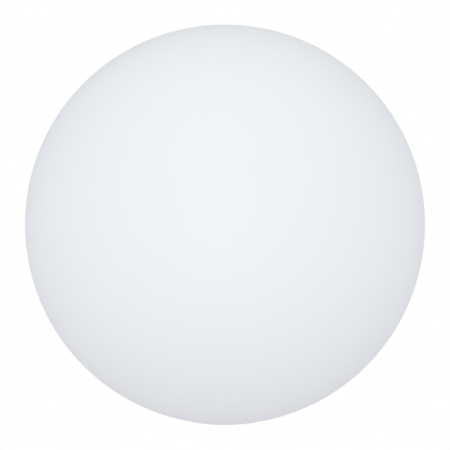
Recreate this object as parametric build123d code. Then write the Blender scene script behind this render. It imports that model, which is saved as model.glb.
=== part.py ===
"""A cordless garden globe light, in millimetres.

A rotomoulded milky globe, with a neck welded into its opening, sits over a sealed light unit and is lifted
straight off it. The unit stands on the ground and fills the globe's round opening from below. It holds the
lamp, two rechargeable cells, the control board, a push button, a charging jack behind a hinged door, and a
fold-out pull handle.

Z points up from the ground, and the origin is on the ground under the globe's centre. The charging jack is
towards -Y. The pull handle folds out on the +Y side.
"""

from build123d import *
import math
import os

# ---------------------------------------------------------------- driving sizes

# Globe
globe_diameter = 300.0
shell_wall = 3.0
neck_wall = 4.0
neck_gusset = 5.0
neck_ledge = 1.0
collar_wall = 2.0
collar_height = 21.8
collar_flange_width = 1.4
collar_flange_thickness = 1.4
collar_lead_in = 1.2
anchor_rib_depth = 0.8
anchor_rib_width = 1.5
anchor_rib_height = 10.0
trim_margin = 1.0
key_width = 3.0
key_depth = 1.3
key_length = 8.0
key_clearance = 0.25

# Battery cells, whose corners set how wide the light unit is
cell_diameter = 18.4
cell_length = 65.2
cell_gap = 0.4
cell_fit = 0.1
cell_cap_radius = 3.0
cell_cap_height = 1.2
battery_room = 2.67

# Barrel of the light unit
barrel_wall = 2.4
barrel_clearance = 0.4
barrel_chamfer = 1.0
deck_thickness = 2.0
seal_groove_depth = 1.4
seal_width = 2.6
seal_lip_width = 0.8
seal_gap = 0.05
seal_heights = (4.2, 9.2)

# Base plate
foot_stand_out = 0.8
plate_thickness = 2.4
underside_inset = 3.0
plate_edge_inset = 0.2
spigot_wall = 2.4
spigot_height = 3.0
spigot_clearance = 0.2
root_overlap = 0.5
flush_sink = 0.1
housing_gasket_thickness = 0.6
seat_gasket_thickness = 0.7
seat_gasket_width = 4.4
seat_gap = 0.3
seat_gasket_inset = 0.4

# Foot pads
foot_count = 4
foot_width = 4.8
foot_arc = 52.0
foot_depth = 1.2
foot_chamfer = 0.4
foot_gap = 0.1
foot_edge_inset = 0.5

# Screws: head radius, head height, shank radius
case_screw = (2.7, 1.8, 1.4)
small_screw = (2.2, 1.4, 1.1)
screw_gap = 0.05
screw_hole_gap = 0.2
screw_head_gap = 0.3
board_screw_length = 5.0
holder_screw_length = 8.6
case_screw_count = 4
case_screw_sink = 0.4
case_screw_socket = 2.5
case_screw_socket_depth = 1.1
case_screw_length = 12.0
boss_wall = 2.5
boss_bite = 0.9
boss_tip = 4.0
boss_cap = 2.0
small_boss_wall = 1.5

# Push button in the middle of the underside
dish_radius = 13.0
dish_depth = 2.6
well_floor = 2.0
bezel_radius = 9.5
bezel_thickness = 1.2
bezel_chamfer = 0.4
switch_radius = 8.0
switch_depth = 15.6
switch_nut_width = 19.0
switch_nut_thickness = 2.4
switch_seal_thickness = 0.3
switch_seal_inset = 0.4
cap_radius = 5.6
cap_thickness = 2.2
cap_stand_out = 0.5
cap_travel = 0.8
cap_gap = 0.1
cap_end_gap = 0.2
cap_dish_rim = 0.8
cap_dish_depth = 0.4
cap_stem_radius = 2.0
cap_stem_length = 4.0
light_ring_inset = 1.0
light_ring_width = 1.0
light_ring_depth = 0.8
terminal_height = 2.4
terminal_size = (2.4, 0.6)
terminal_pitch = 6.0

# Pull handle
handle_dish_gap = 4.4
handle_width = 4.2
handle_thickness = 2.8
handle_chamfer = 0.5
handle_gap = 0.6
handle_pin_radius = 1.2
handle_pin_length = 2.4
handle_pin_gap = 0.05
handle_pivot_wall = 0.8
handle_sink = 0.1
handle_recess_depth = 3.8
handle_well_roof = 1.6
finger_notch = (14.0, 6.0)

# Charging port
port_foot_gap = 2.1
port_width = 17.2
port_length = 14.2
port_depth = 3.8
port_wall = 2.0
door_gap = 0.4
door_thickness = 1.4
door_seal_thickness = 0.5
door_seal_radius = 5.0
hinge_pin_radius = 0.6
hinge_pin_gap = 0.05
hinge_pin_reach = 1.2
hinge_pin_end_gap = 0.2
knuckle_radius = 1.2
nail_notch = (6.0, 1.6, 1.2)
jack_radius = 4.0
jack_flange_radius = 5.2
jack_flange_thickness = 1.0
jack_seal_thickness = 0.4
jack_seal_inset = 0.2
jack_bore_radius = 2.9
jack_bore_depth = 10.0
jack_pin_radius = 1.0
jack_pin_recess = 1.0
jack_depth = 13.0
jack_nut_width = 11.0
jack_nut_thickness = 2.0

# Small fittings in the underside
fitting_inset = 7.6
lens_angle = 205.0
lens_radius = 2.5
lens_flange = 1.2
lens_flange_thickness = 1.2
vent_angle = -25.0
vent_radius = 3.6
vent_head = (5.4, 1.6)
vent_rim = 1.6
vent_dimple_depth = 0.9

# Control board
board_standoff = 10.8
board_thickness = 1.6
board_margin = 3.4
board_hole_gap = 1.6
board_boss_gap = 0.8
post_radius = 3.0
post_inset = 7.0
post_angles = (69.0, 111.0, 238.0, 302.0)
component_room = 6.4
terminal_room = 0.6

# Components on the board: length, width, height, then inset from the board's edge and angle
main_controller_size = (9.0, 9.0, 1.2)
main_controller_inset, main_controller_angle = 14.8, 180.0
charge_controller_size = (6.0, 6.0, 1.0)
charge_controller_inset, charge_controller_angle = 11.8, -28.6
power_inductor_size = (10.0, 10.0, 4.4)
power_inductor_inset, power_inductor_angle = 12.8, 0.0
capacitor_radius = 3.0
capacitor_height = 5.6
capacitor_insets = (14.2, 9.8)
capacitor_angles = (131.5, 148.5)

# Battery holder
holder_floor = 1.6
holder_wall = 1.2
holder_end_wall = 2.0
holder_wall_height = 12.0
holder_end_height = 18.0
holder_side_gap = 0.3
holder_side_inset = 4.0
end_room = 1.6
saddle_lift = 0.9
saddle_thickness = 2.0
saddle_height = 6.4
saddle_pitch = 22.0
contact_thickness = 0.4
contact_reach = 5.0
contact_drop = 6.0
spring_width = 6.0
spring_tip = 1.0
spring_spread = 4.0
spring_leaf = 1.0
pad_thickness = 1.1
pad_end_inset = 10.6
pad_side_inset = 6.6
ear_offset = (14.0, 7.4)
ear_radius = 4.5
pillar_radius = 3.5
pillar_hole_depth = 9.0

# Lamp deck
spreader_inset = 5.2
spreader_thickness = 2.0
led_board_inset = 3.0
led_board_thickness = 1.6
led_size = 5.0
led_height = 1.6
led_ring_insets = (10.0, 20.0)
led_ring_counts = (12, 6)
led_ring_starts = (15.0, 0.0)
led_screw_inset = 4.4
led_screw_angles = (90.0, 210.0, 330.0)
led_screw_bite = 1.6
receiver_size = (9.0, 7.0, 3.4)
cover_flange_thickness = 1.6
cover_gasket_thickness = 0.8
cover_wall = 1.8
cover_clearance = 0.4
cover_height = 17.0
cover_shoulder = 5.0
cover_draft = 1.4
clamp_thickness = 1.8
clamp_screw_count = 4
clamp_screw_length = 8.0
clamp_gap = 0.2
clamp_boss_depth = 6.0
clamp_hole_depth = 5.0
cover_edge_inset = 1.6

# Ribbon leads: width, thickness, inner bend
ribbon_width = 5.0
ribbon_thickness = 0.8
ribbon_bend = 0.8
ribbon_slot_gap = 0.5
led_ribbon_inset = 3.36
led_ribbon_angle = -65.2
connector_size = (8.0, 4.0, 3.2)
battery_connector_inset = 4.2
switch_connector_gap = 3.4
jack_connector_gap = 0.4
led_connector_reach = 7.0
lamp_connector_size = (6.4, 3.6, 3.2)

# ---------------------------------------------------------------- worked-out sizes

globe_radius = globe_diameter / 2

cell_radius = cell_diameter / 2
cell_offset = cell_radius + cell_gap / 2
cell_pack_half_width = cell_offset + cell_radius
cell_corner = math.hypot(cell_length / 2, cell_pack_half_width)

barrel_inner = cell_corner + battery_room
barrel_radius = barrel_inner + barrel_wall
bore_radius = barrel_radius + barrel_clearance
collar_outer = bore_radius + collar_wall
neck_outer = collar_outer + neck_wall
weld_radius = neck_outer + neck_ledge

plate_bottom = foot_stand_out
plate_top = plate_bottom + plate_thickness
housing_bottom = plate_top + housing_gasket_thickness
gasket_top = plate_top + seat_gasket_thickness
shell_edge = gasket_top + seat_gap
collar_top = shell_edge + collar_height

# The ground plane cuts the globe's sphere where the underside ends
rest_radius = bore_radius - underside_inset
globe_centre = math.sqrt(globe_radius**2 - rest_radius**2)

spigot_outer = barrel_inner - spigot_clearance
spigot_top = plate_top + spigot_height
fitting_ring = spigot_outer - spigot_wall - fitting_inset

case_boss_radius = case_screw[2] + boss_wall
case_screw_ring = barrel_inner - case_boss_radius + boss_bite
case_screw_seat = plate_bottom + case_screw_sink + case_screw[1]
case_screw_angles = [45 + i * 360 / case_screw_count for i in range(case_screw_count)]
foot_outer = rest_radius - foot_edge_inset
foot_inner = foot_outer - foot_width
foot_angles = [i * 360 / foot_count for i in range(foot_count)]
foot_pocket_top = plate_bottom + foot_depth

dish_floor = plate_bottom + dish_depth
dish_top = dish_floor + well_floor
bezel_top = dish_floor - switch_seal_thickness
bezel_bottom = bezel_top - bezel_thickness
cap_bottom = bezel_bottom - cap_stand_out
cap_top = cap_bottom + cap_thickness
stem_top = cap_top + cap_stem_length
switch_top = dish_floor + switch_depth

handle_inner_radius = dish_radius + handle_dish_gap
handle_outer_radius = handle_inner_radius + handle_width
handle_recess_top = plate_bottom + handle_recess_depth
handle_middle = plate_bottom + handle_recess_depth / 2 + handle_sink
handle_recess_inner = handle_inner_radius - handle_gap
handle_recess_outer = handle_outer_radius + handle_gap
handle_well_top = handle_recess_top + handle_well_roof

port_top = plate_bottom + port_depth
port_well_top = port_top + port_wall
port_low_y = port_foot_gap - foot_inner
port_high_y = port_low_y + port_length
jack_y = port_high_y - jack_flange_radius - door_gap
hinge_y = port_low_y + door_thickness + door_gap
door_bottom = plate_bottom + flush_sink
hinge_z = door_bottom + door_thickness
jack_front = port_top - jack_seal_thickness - jack_flange_thickness
jack_top = jack_front + jack_depth

board_bottom = plate_top + board_standoff
board_top = board_bottom + board_thickness
board_radius = barrel_inner - board_margin
post_ring = barrel_inner - post_inset
# The holder clears the board's components and the push button's terminals
holder_bottom = max(board_top + component_room, switch_top + terminal_height + terminal_room)
holder_top = holder_bottom + holder_floor
holder_end_top = holder_top + holder_end_height
holder_half_length = cell_length / 2 + end_room + holder_end_wall
holder_inside = holder_half_length - holder_end_wall
contact_face = holder_inside - contact_thickness
cell_z = holder_top + saddle_lift + cell_radius
pad_bottom = cell_z + cell_radius
ear_x, ear_y = ear_offset[0], cell_pack_half_width + ear_offset[1]
holder_ears = ((ear_x, ear_y), (-ear_x, -ear_y))
deck_bottom = pad_bottom + pad_thickness
deck_top = deck_bottom + deck_thickness

spreader_radius = barrel_inner - spreader_inset
spreader_top = deck_top + spreader_thickness
led_board_radius = spreader_radius - led_board_inset
led_board_top = spreader_top + led_board_thickness
led_screw_ring = led_board_radius - led_screw_inset
cover_inner = spreader_radius + cover_clearance
cover_flange_outer = barrel_radius - cover_edge_inset
cover_flange_bottom = deck_top + cover_gasket_thickness
cover_flange_top = cover_flange_bottom + cover_flange_thickness
cover_top = cover_flange_bottom + cover_height
clamp_top = cover_flange_top + clamp_thickness
cover_foot = cover_inner + cover_wall
clamp_screw_ring = cover_foot + small_screw[0] + clamp_gap
clamp_screw_angles = [45 + i * 360 / clamp_screw_count for i in range(clamp_screw_count)]

led_ribbon_reach = led_board_radius - led_ribbon_inset
led_ribbon_x = led_ribbon_reach * math.cos(math.radians(led_ribbon_angle))
led_ribbon_y = led_ribbon_reach * math.sin(math.radians(led_ribbon_angle))
led_connector_y = led_ribbon_y + led_connector_reach
lamp_connector_y = led_ribbon_y + ribbon_bend + ribbon_thickness
connector_middle = board_top + connector_size[2] / 2
battery_connector_x = holder_half_length - battery_connector_inset
switch_connector_y = switch_radius + board_hole_gap + switch_connector_gap + connector_size[1] / 2
jack_connector_x = -(jack_radius + board_hole_gap + jack_connector_gap + connector_size[0] / 2)


# ---------------------------------------------------------------- helpers


def save(name, *parts):
    """Write the solids of a node, each as a separate solid."""
    solids = [solid for part in parts for solid in part.solids()]
    export_step(Compound(solids), f"parts/{name}.step")


def polar(radius, degrees):
    return radius * math.cos(math.radians(degrees)), radius * math.sin(math.radians(degrees))


def sphere_width(height, radius):
    """The radius of a sphere about the globe's centre, at a height above the ground."""
    return math.sqrt(radius**2 - (height - globe_centre) ** 2)


def sphere_height(width, radius):
    """The height of the lower half of such a sphere, at a distance from the axis."""
    return globe_centre - math.sqrt(radius**2 - width**2)


def disc(radius, bottom, top, x=0.0, y=0.0):
    height = top - bottom
    return Pos(x, y, bottom + height / 2) * Cylinder(radius, height)


def ring(inner, outer, bottom, top, x=0.0, y=0.0):
    return disc(outer, bottom, top, x, y) - disc(inner, bottom, top, x, y)


def block(low, high):
    """A box between two opposite corners."""
    size = [b - a for a, b in zip(low, high)]
    middle = [(a + b) / 2 for a, b in zip(low, high)]
    return Pos(*middle) * Box(*size)


def turned(points, start=0.0, arc=360.0):
    """A closed outline of (radius, height) points, turned about the vertical axis."""
    outline = Polyline([(radius, 0, height) for radius, height in points], close=True)
    return Rot(0, 0, start) * revolve(make_face(outline), Axis.Z, arc)


def bar(radius, low_x, high_x, y, z):
    """A round bar along X."""
    length = high_x - low_x
    return Pos(low_x + length / 2, y, z) * Rot(0, 90, 0) * Cylinder(radius, length)


def hexagon(width, bottom, top, x=0.0, y=0.0):
    """A hexagonal prism, measured across its flats."""
    outline = RegularPolygon(width / math.sqrt(3), 6)
    return Pos(x, y, bottom) * extrude(outline, top - bottom)


def screw(size, x, y, seat, length, head_below):
    """A screw whose head lies under its seat, with the shank rising, or the reverse."""
    head_radius, head_height, shank_radius = size
    body = disc(head_radius, 0, head_height) + disc(shank_radius, head_height, head_height + length)
    if head_below:
        return Pos(x, y, seat - head_height) * body
    return Pos(x, y, seat + head_height) * Rot(180, 0, 0) * body


def ribbon(points, width_direction):
    """A flat lead along a path with rounded bends."""
    path = FilletPolyline(*points, radius=ribbon_bend + ribbon_thickness / 2)
    section = Plane(origin=path @ 0, x_dir=width_direction, z_dir=path % 0)
    return sweep(section * Rectangle(ribbon_width, ribbon_thickness), path=path)


# ---------------------------------------------------------------- globe


def globe_shell():
    """The hollow sphere, cut flat at its foot and bored for the neck."""
    centre = Pos(0, 0, globe_centre)
    shell = centre * Sphere(globe_radius) - centre * Sphere(globe_radius - shell_wall)
    shell -= disc(globe_radius, globe_centre - globe_radius - trim_margin, shell_edge)
    return shell - disc(weld_radius, shell_edge, collar_top)


def globe_neck():
    """The neck welded into the shell: a gusset on the shell's inside, and grooves for the collar."""
    gusset_radius = neck_outer + neck_gusset
    gusset_foot = sphere_height(gusset_radius, globe_radius - shell_wall / 2)
    neck = turned(
        [
            (bore_radius, shell_edge),
            (weld_radius, shell_edge),
            (gusset_radius, gusset_foot),
            (neck_outer, gusset_foot + neck_gusset),
            (neck_outer, collar_top),
            (bore_radius, collar_top),
        ]
    )
    neck -= globe_shell()
    neck -= disc(collar_outer, shell_edge, collar_top)
    flange = collar_outer + collar_flange_width
    neck -= disc(flange, shell_edge, shell_edge + collar_flange_thickness)
    rib_bottom = shell_edge + anchor_rib_height
    return neck - disc(collar_outer + anchor_rib_depth, rib_bottom, rib_bottom + anchor_rib_width)


def neck_collar():
    """The smooth ring moulded into the neck, with an anchor rib outside and a key rib inside."""
    flange_top = shell_edge + collar_flange_thickness
    flange = collar_outer + collar_flange_width
    rib = collar_outer + anchor_rib_depth
    rib_bottom = shell_edge + anchor_rib_height
    rib_top = rib_bottom + anchor_rib_width
    collar = turned(
        [
            (flange, shell_edge),
            (flange, flange_top),
            (collar_outer, flange_top),
            (collar_outer, rib_bottom),
            (rib, rib_bottom),
            (rib, rib_top),
            (collar_outer, rib_top),
            (collar_outer, collar_top),
            (bore_radius, collar_top),
            (bore_radius, shell_edge + 2 * collar_lead_in),
            (bore_radius + collar_lead_in, shell_edge),
        ]
    )
    key_low = collar_top - key_length
    key = block(
        (-key_width / 2, bore_radius - key_depth, key_low),
        (key_width / 2, bore_radius + collar_wall / 2, collar_top),
    )
    return collar + key


# ---------------------------------------------------------------- light unit, outer parts


def handle_recess():
    """The half-round recess for the folded pull handle, with room for a fingertip."""
    low, high = plate_bottom, handle_recess_top
    groove = ring(handle_recess_inner, handle_recess_outer, low, high)
    reach = handle_recess_outer
    groove -= block((-reach, -reach, low), (reach, 0, high))
    for side in (-1, 1):
        ends = sorted((side * handle_recess_inner, side * handle_recess_outer))
        groove += block((ends[0], -handle_thickness / 2 - handle_gap, low), (ends[1], 0, high))
    notch_width, notch_reach = finger_notch
    groove += block(
        (-notch_width / 2, handle_outer_radius - root_overlap, low),
        (notch_width / 2, handle_outer_radius + notch_reach, high),
    )
    return groove


def handle_well():
    """The raised housing over the handle's recess and its two pivots."""
    wall = port_wall
    low, high = plate_top - root_overlap, handle_well_top
    reach = handle_recess_outer + handle_pin_length + handle_pivot_wall
    well = ring(handle_recess_inner - wall, reach, low, high)
    well -= block((-reach, -reach, low), (reach, -handle_thickness / 2 - handle_gap - wall, high))
    notch_width, notch_reach = finger_notch
    well += block(
        (-notch_width / 2 - wall, handle_recess_inner, low),
        (notch_width / 2 + wall, handle_outer_radius + notch_reach + wall, high),
    )
    return well


def port_block(grow, low, high):
    """The charging port's rectangle, grown by a margin on each side."""
    return block(
        (-port_width / 2 - grow, port_low_y - grow, low),
        (port_width / 2 + grow, port_high_y + grow, high),
    )


def base_plate():
    """The floor of the light unit: foot pockets, screw holes and the wells of the handle, button and port."""
    edge_low = sphere_width(plate_bottom, globe_radius) - plate_edge_inset
    edge_high = sphere_width(plate_top, globe_radius) - plate_edge_inset
    plate = turned([(0, plate_bottom), (edge_low, plate_bottom), (edge_high, plate_top), (0, plate_top)])
    plate += ring(spigot_outer - spigot_wall, spigot_outer, plate_top - root_overlap, spigot_top)
    plate += disc(dish_radius + port_wall, plate_top - root_overlap, dish_top)
    plate += handle_well()
    plate += port_block(port_wall, plate_top - root_overlap, port_well_top)
    for x, y in [polar(case_screw_ring, angle) for angle in case_screw_angles]:
        boss = disc(case_boss_radius, plate_top - root_overlap, spigot_top, x, y)
        plate += boss & disc(spigot_outer, plate_top - root_overlap, spigot_top)
    for angle in post_angles:
        x, y = polar(post_ring, angle)
        plate += disc(post_radius, plate_top - root_overlap, board_bottom, x, y)
        plate -= disc(small_screw[2] + screw_gap, board_bottom - board_screw_length, board_bottom, x, y)
    for angle in foot_angles:
        plate -= foot_sector(angle, foot_gap, plate_bottom, foot_pocket_top, 0)
    for angle in case_screw_angles:
        x, y = polar(case_screw_ring, angle)
        plate -= disc(case_screw[0] + screw_head_gap, plate_bottom, case_screw_seat, x, y)
        plate -= disc(case_screw[2] + screw_hole_gap, plate_bottom, spigot_top, x, y)
    plate -= disc(dish_radius, plate_bottom, dish_floor)
    plate -= disc(switch_radius + screw_gap, plate_bottom, dish_top)
    plate -= handle_recess()
    pivot = handle_recess_outer + handle_pin_length
    plate -= bar(handle_pin_radius + handle_pin_gap, -pivot, pivot, 0, handle_middle)
    plate += ring(dish_radius, handle_recess_inner, plate_bottom, dish_top)
    plate -= port_block(0, plate_bottom, port_top)
    plate -= disc(jack_radius + screw_gap, plate_bottom, port_well_top, 0, jack_y)
    pin_end = port_width / 2 + hinge_pin_reach + hinge_pin_end_gap
    plate -= bar(hinge_pin_radius, -pin_end, pin_end, hinge_y, hinge_z)
    length, width, depth = nail_notch
    high = (length / 2, port_high_y + width, plate_bottom + depth)
    plate -= block((-length / 2, port_high_y, plate_bottom), high)
    lens_x, lens_y = polar(fitting_ring, lens_angle)
    plate -= disc(lens_radius + screw_gap, plate_bottom, plate_top, lens_x, lens_y)
    vent_x, vent_y = polar(fitting_ring, vent_angle)
    plate -= disc(vent_radius + screw_gap, plate_bottom, plate_top, vent_x, vent_y)
    return plate


def foot_sector(angle, grow, bottom, top, chamfer):
    """One arc-shaped foot, or its pocket when grown by a gap."""
    inner, outer = foot_inner - grow, foot_outer + grow
    arc = foot_arc + 2 * math.degrees(grow / foot_inner)
    outline = [(inner + chamfer, bottom), (outer - chamfer, bottom)]
    outline += [(outer, bottom + chamfer)] if chamfer else []
    outline += [(outer, top), (inner, top)]
    outline += [(inner, bottom + chamfer)] if chamfer else []
    return turned(outline, angle - arc / 2, arc)


def unit_housing():
    """The barrel and deck, with two seal grooves, a key slot, screw bosses and the holder's pillars."""
    housing = turned(
        [
            (barrel_inner, housing_bottom),
            (barrel_radius, housing_bottom),
            (barrel_radius, deck_top - barrel_chamfer),
            (barrel_radius - barrel_chamfer, deck_top),
            (0, deck_top),
            (0, deck_bottom),
            (barrel_inner, deck_bottom),
        ]
    )
    boss_bottom = spigot_top + spigot_clearance
    boss_top = case_screw_seat + case_screw_length + boss_tip
    for angle in case_screw_angles:
        x, y = polar(case_screw_ring, angle)
        housing += disc(case_boss_radius, boss_bottom, boss_top, x, y)
        housing -= disc(case_screw[2] + screw_gap, boss_bottom, boss_top - boss_cap, x, y)
    for x, y in holder_ears:
        housing += disc(pillar_radius, holder_top, deck_bottom + root_overlap, x, y)
        housing -= disc(small_screw[2] + screw_gap, holder_top, holder_top + pillar_hole_depth, x, y)
    for angle in clamp_screw_angles:
        x, y = polar(clamp_screw_ring, angle)
        boss_radius = small_screw[2] + small_boss_wall
        housing += disc(boss_radius, deck_bottom - clamp_boss_depth, deck_bottom + root_overlap, x, y)
        housing -= disc(small_screw[2] + screw_gap, deck_bottom - clamp_hole_depth, deck_top, x, y)
    for angle in led_screw_angles:
        x, y = polar(led_screw_ring, angle)
        housing -= disc(small_screw[2] + screw_gap, deck_bottom, deck_top, x, y)
    for height in seal_heights:
        bottom = housing_bottom + height
        housing -= ring(barrel_radius - seal_groove_depth, barrel_radius, bottom, bottom + seal_width)
    slot_half = key_width / 2 + key_clearance
    housing -= block(
        (-slot_half, bore_radius - key_depth - key_clearance, collar_top - key_length - key_clearance),
        (slot_half, barrel_radius + trim_margin, deck_top),
    )
    housing -= ribbon_slot(deck_bottom, deck_top)
    return housing


def ribbon_slot(bottom, top):
    """The slot that lets the lamp's ribbon lead up through a plate."""
    x, y = led_ribbon_x, led_ribbon_y
    half_width = ribbon_width / 2 + ribbon_slot_gap
    half_thickness = ribbon_thickness / 2 + ribbon_slot_gap
    return block((x - half_width, y - half_thickness, bottom), (x + half_width, y + half_thickness, top))


def seal_ring(height):
    """A ring seal in the barrel's groove, whose narrow lip runs on the collar."""
    bottom = housing_bottom + height
    top = bottom + seal_width
    floor = barrel_radius - seal_groove_depth
    lip = bore_radius - seal_gap
    middle = (bottom + top) / 2
    return turned(
        [
            (floor, bottom),
            (lip, middle - seal_lip_width / 2),
            (lip, middle + seal_lip_width / 2),
            (floor, top),
        ]
    )


def case_screws():
    """The screws that hold the plate to the housing, with hexagon sockets."""
    head_bottom = case_screw_seat - case_screw[1]
    screws = []
    for angle in case_screw_angles:
        x, y = polar(case_screw_ring, angle)
        body = screw(case_screw, x, y, case_screw_seat, case_screw_length, True)
        socket = hexagon(case_screw_socket, head_bottom, head_bottom + case_screw_socket_depth, x, y)
        screws.append(body - socket)
    return screws


def status_lens():
    """A clear stepped plug over the charge lamp."""
    x, y = polar(fitting_ring, lens_angle)
    lens = disc(lens_radius, plate_bottom + flush_sink, plate_top, x, y)
    return lens + disc(lens_radius + lens_flange, plate_top, plate_top + lens_flange_thickness, x, y)


def vent_plug():
    """A pressure vent, with a dimple in its outer face and a flange inside the plate."""
    x, y = polar(fitting_ring, vent_angle)
    head_radius, head_height = vent_head
    plug = disc(vent_radius, plate_bottom + flush_sink, plate_top, x, y)
    plug += disc(head_radius, plate_top, plate_top + head_height, x, y)
    return plug - disc(vent_radius - vent_rim, plate_bottom, plate_bottom + vent_dimple_depth, x, y)


# ---------------------------------------------------------------- push button


def switch_barrel():
    """The metal body of the push button, with its bezel under the plate."""
    slope = bezel_radius - bezel_chamfer
    edge = bezel_bottom + bezel_chamfer
    face = [(0, bezel_bottom), (slope, bezel_bottom)]
    side = [(bezel_radius, edge), (bezel_radius, bezel_top), (0, bezel_top)]
    body = turned(face + side)
    body += disc(switch_radius, bezel_top, switch_top)
    body -= disc(cap_radius + cap_gap, bezel_bottom, cap_top + cap_travel + cap_end_gap)
    body -= disc(cap_stem_radius + cap_gap, cap_top, stem_top + cap_travel + cap_end_gap)
    return body - switch_light_ring()


def switch_light_ring():
    ring_inner = cap_radius + light_ring_inset
    return ring(ring_inner, ring_inner + light_ring_width, bezel_bottom, bezel_bottom + light_ring_depth)


def switch_cap():
    """The moving cap and its stem, with a shallow finger dish."""
    cap = disc(cap_radius, cap_bottom, cap_top) + disc(cap_stem_radius, cap_top, stem_top)
    rim = cap_radius - cap_dish_rim
    return cap - turned([(0, cap_bottom), (rim, cap_bottom), (0, cap_bottom + cap_dish_depth)])


def switch_nut():
    return hexagon(switch_nut_width, dish_top, dish_top + switch_nut_thickness) - disc(
        switch_radius, dish_top, dish_top + switch_nut_thickness
    )


def switch_terminals():
    length, thickness = terminal_size
    half = terminal_pitch / 2
    return [
        block(
            (x - length / 2, y - thickness / 2, switch_top),
            (x + length / 2, y + thickness / 2, switch_top + terminal_height),
        )
        for x in (-half, half)
        for y in (-half, half)
    ]


# ---------------------------------------------------------------- pull handle


def pull_handle():
    """A half ring of flat section, lying in its recess, with a pivot pin at each end."""
    low = handle_middle - handle_thickness / 2
    high = handle_middle + handle_thickness / 2
    cut = handle_chamfer
    inner, outer = handle_inner_radius, handle_outer_radius
    bow = turned(
        [
            (inner + cut, low),
            (outer - cut, low),
            (outer, low + cut),
            (outer, high - cut),
            (outer - cut, high),
            (inner + cut, high),
            (inner, high - cut),
            (inner, low + cut),
        ],
        0,
        180,
    )
    reach = handle_recess_outer + handle_pin_length - handle_pin_gap
    for side in (-1, 1):
        ear = sorted((side * inner, side * outer))
        pin = sorted((side * inner, side * reach))
        bow += bar(handle_thickness / 2, *ear, 0, handle_middle)
        bow += bar(handle_pin_radius, *pin, 0, handle_middle)
    return bow


# ---------------------------------------------------------------- charging port


def port_door():
    """The port's door, with its knuckle round the hinge pin."""
    half = port_width / 2 - door_gap
    knuckle = bar(knuckle_radius, -half, half, hinge_y, hinge_z)
    leaf = block(
        (-half, hinge_y, door_bottom), (half, port_high_y - door_gap, door_bottom + door_thickness)
    )
    return leaf + knuckle - bar(hinge_pin_radius + hinge_pin_gap, -half, half, hinge_y, hinge_z)


def port_door_seal():
    top = door_bottom + door_thickness
    return disc(door_seal_radius, top, top + door_seal_thickness, 0, jack_y)


def jack_body():
    """The panel jack: a flange in the well, a barrel through its floor and a socket that opens downwards."""
    body = disc(jack_flange_radius, jack_front, jack_front + jack_flange_thickness, 0, jack_y)
    body += disc(jack_radius, jack_front + jack_flange_thickness, jack_top, 0, jack_y)
    return body - disc(jack_bore_radius, jack_front, jack_front + jack_bore_depth, 0, jack_y)


def jack_pin():
    low = jack_front + jack_pin_recess
    return disc(jack_pin_radius, low, jack_front + jack_bore_depth, 0, jack_y)


def jack_nut():
    bottom, top = port_well_top, port_well_top + jack_nut_thickness
    return hexagon(jack_nut_width, bottom, top, 0, jack_y) - disc(
        jack_radius, bottom, top, 0, jack_y
    )


def jack_terminals():
    """Two lugs side by side, which face the board's jack connector."""
    length, thickness = terminal_size
    face = -jack_radius / 2
    return [
        block(
            (face - thickness, y - length / 4, jack_top),
            (face, y + length / 4, jack_top + terminal_height),
        )
        for y in (jack_y - length / 2, jack_y + length / 2)
    ]


# ---------------------------------------------------------------- control board


def control_board():
    """A round board with clearance for the switch, the jack, the case bosses and its own screws."""
    board = disc(board_radius, board_bottom, board_top)
    board -= disc(switch_radius + board_hole_gap, board_bottom, board_top)
    board -= disc(jack_radius + board_hole_gap, board_bottom, board_top, 0, jack_y)
    for angle in case_screw_angles:
        x, y = polar(case_screw_ring, angle)
        board -= disc(case_boss_radius + board_boss_gap, board_bottom, board_top, x, y)
    for angle in post_angles:
        board -= disc(small_screw[2] + screw_hole_gap, board_bottom, board_top, *polar(post_ring, angle))
    return board


def chip(x, y, length, width, height):
    """A square component that stands on the control board."""
    return block(
        (x - length / 2, y - width / 2, board_top), (x + length / 2, y + width / 2, board_top + height)
    )


def on_board(inset, degrees):
    """A place on the board, measured in from its edge."""
    return polar(board_radius - inset, degrees)


def buffer_capacitors():
    cans = []
    for inset, angle in zip(capacitor_insets, capacitor_angles):
        cans.append(disc(capacitor_radius, board_top, board_top + capacitor_height, *on_board(inset, angle)))
    return cans


def led_ribbon():
    """From the board, up through the deck, to the lamp's connector."""
    x, y, low = led_ribbon_x, led_ribbon_y, connector_middle
    high = led_board_top + lamp_connector_size[2] / 2
    start = led_connector_y - connector_size[1] / 2
    return ribbon([(x, start, low), (x, y, low), (x, y, high), (x, lamp_connector_y, high)], (1, 0, 0))


def lamp_connector():
    length, width, height = lamp_connector_size
    x, side, low = led_ribbon_x, lamp_connector_y, led_board_top
    return block((x - length / 2, side, low), (x + length / 2, side + width, low + height))


def battery_ribbons():
    """One lead from each end of the board, over the holder's end wall to its contact plate."""
    low = connector_middle
    high = holder_end_top + ribbon_thickness / 2
    start = battery_connector_x + connector_size[1] / 2
    out = holder_half_length + ribbon_thickness / 2 + ribbon_bend
    route = [(start, low), (out, low), (out, high), (contact_face, high)]
    return [ribbon([(side * x, 0, z) for x, z in route], (0, 1, 0)) for side in (-1, 1)]


def switch_ribbon():
    """From the push button's terminals down to the board."""
    low = connector_middle
    high = switch_top + terminal_height / 2
    start = terminal_pitch / 2 + terminal_size[1] / 2
    end = switch_connector_y - connector_size[1] / 2
    drop = end - 2 * (ribbon_bend + ribbon_thickness / 2)
    return ribbon([(0, start, high), (0, drop, high), (0, drop, low), (0, end, low)], (1, 0, 0))


def jack_ribbon():
    """A straight lead from the jack's terminals to the board."""
    middle = jack_top + terminal_height / 2
    start = jack_connector_x + connector_size[0] / 2
    end = -jack_radius / 2 - terminal_size[1]
    return block(
        (start, jack_y - ribbon_width / 2, middle - ribbon_thickness / 2),
        (end, jack_y + ribbon_width / 2, middle + ribbon_thickness / 2),
    )


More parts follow.
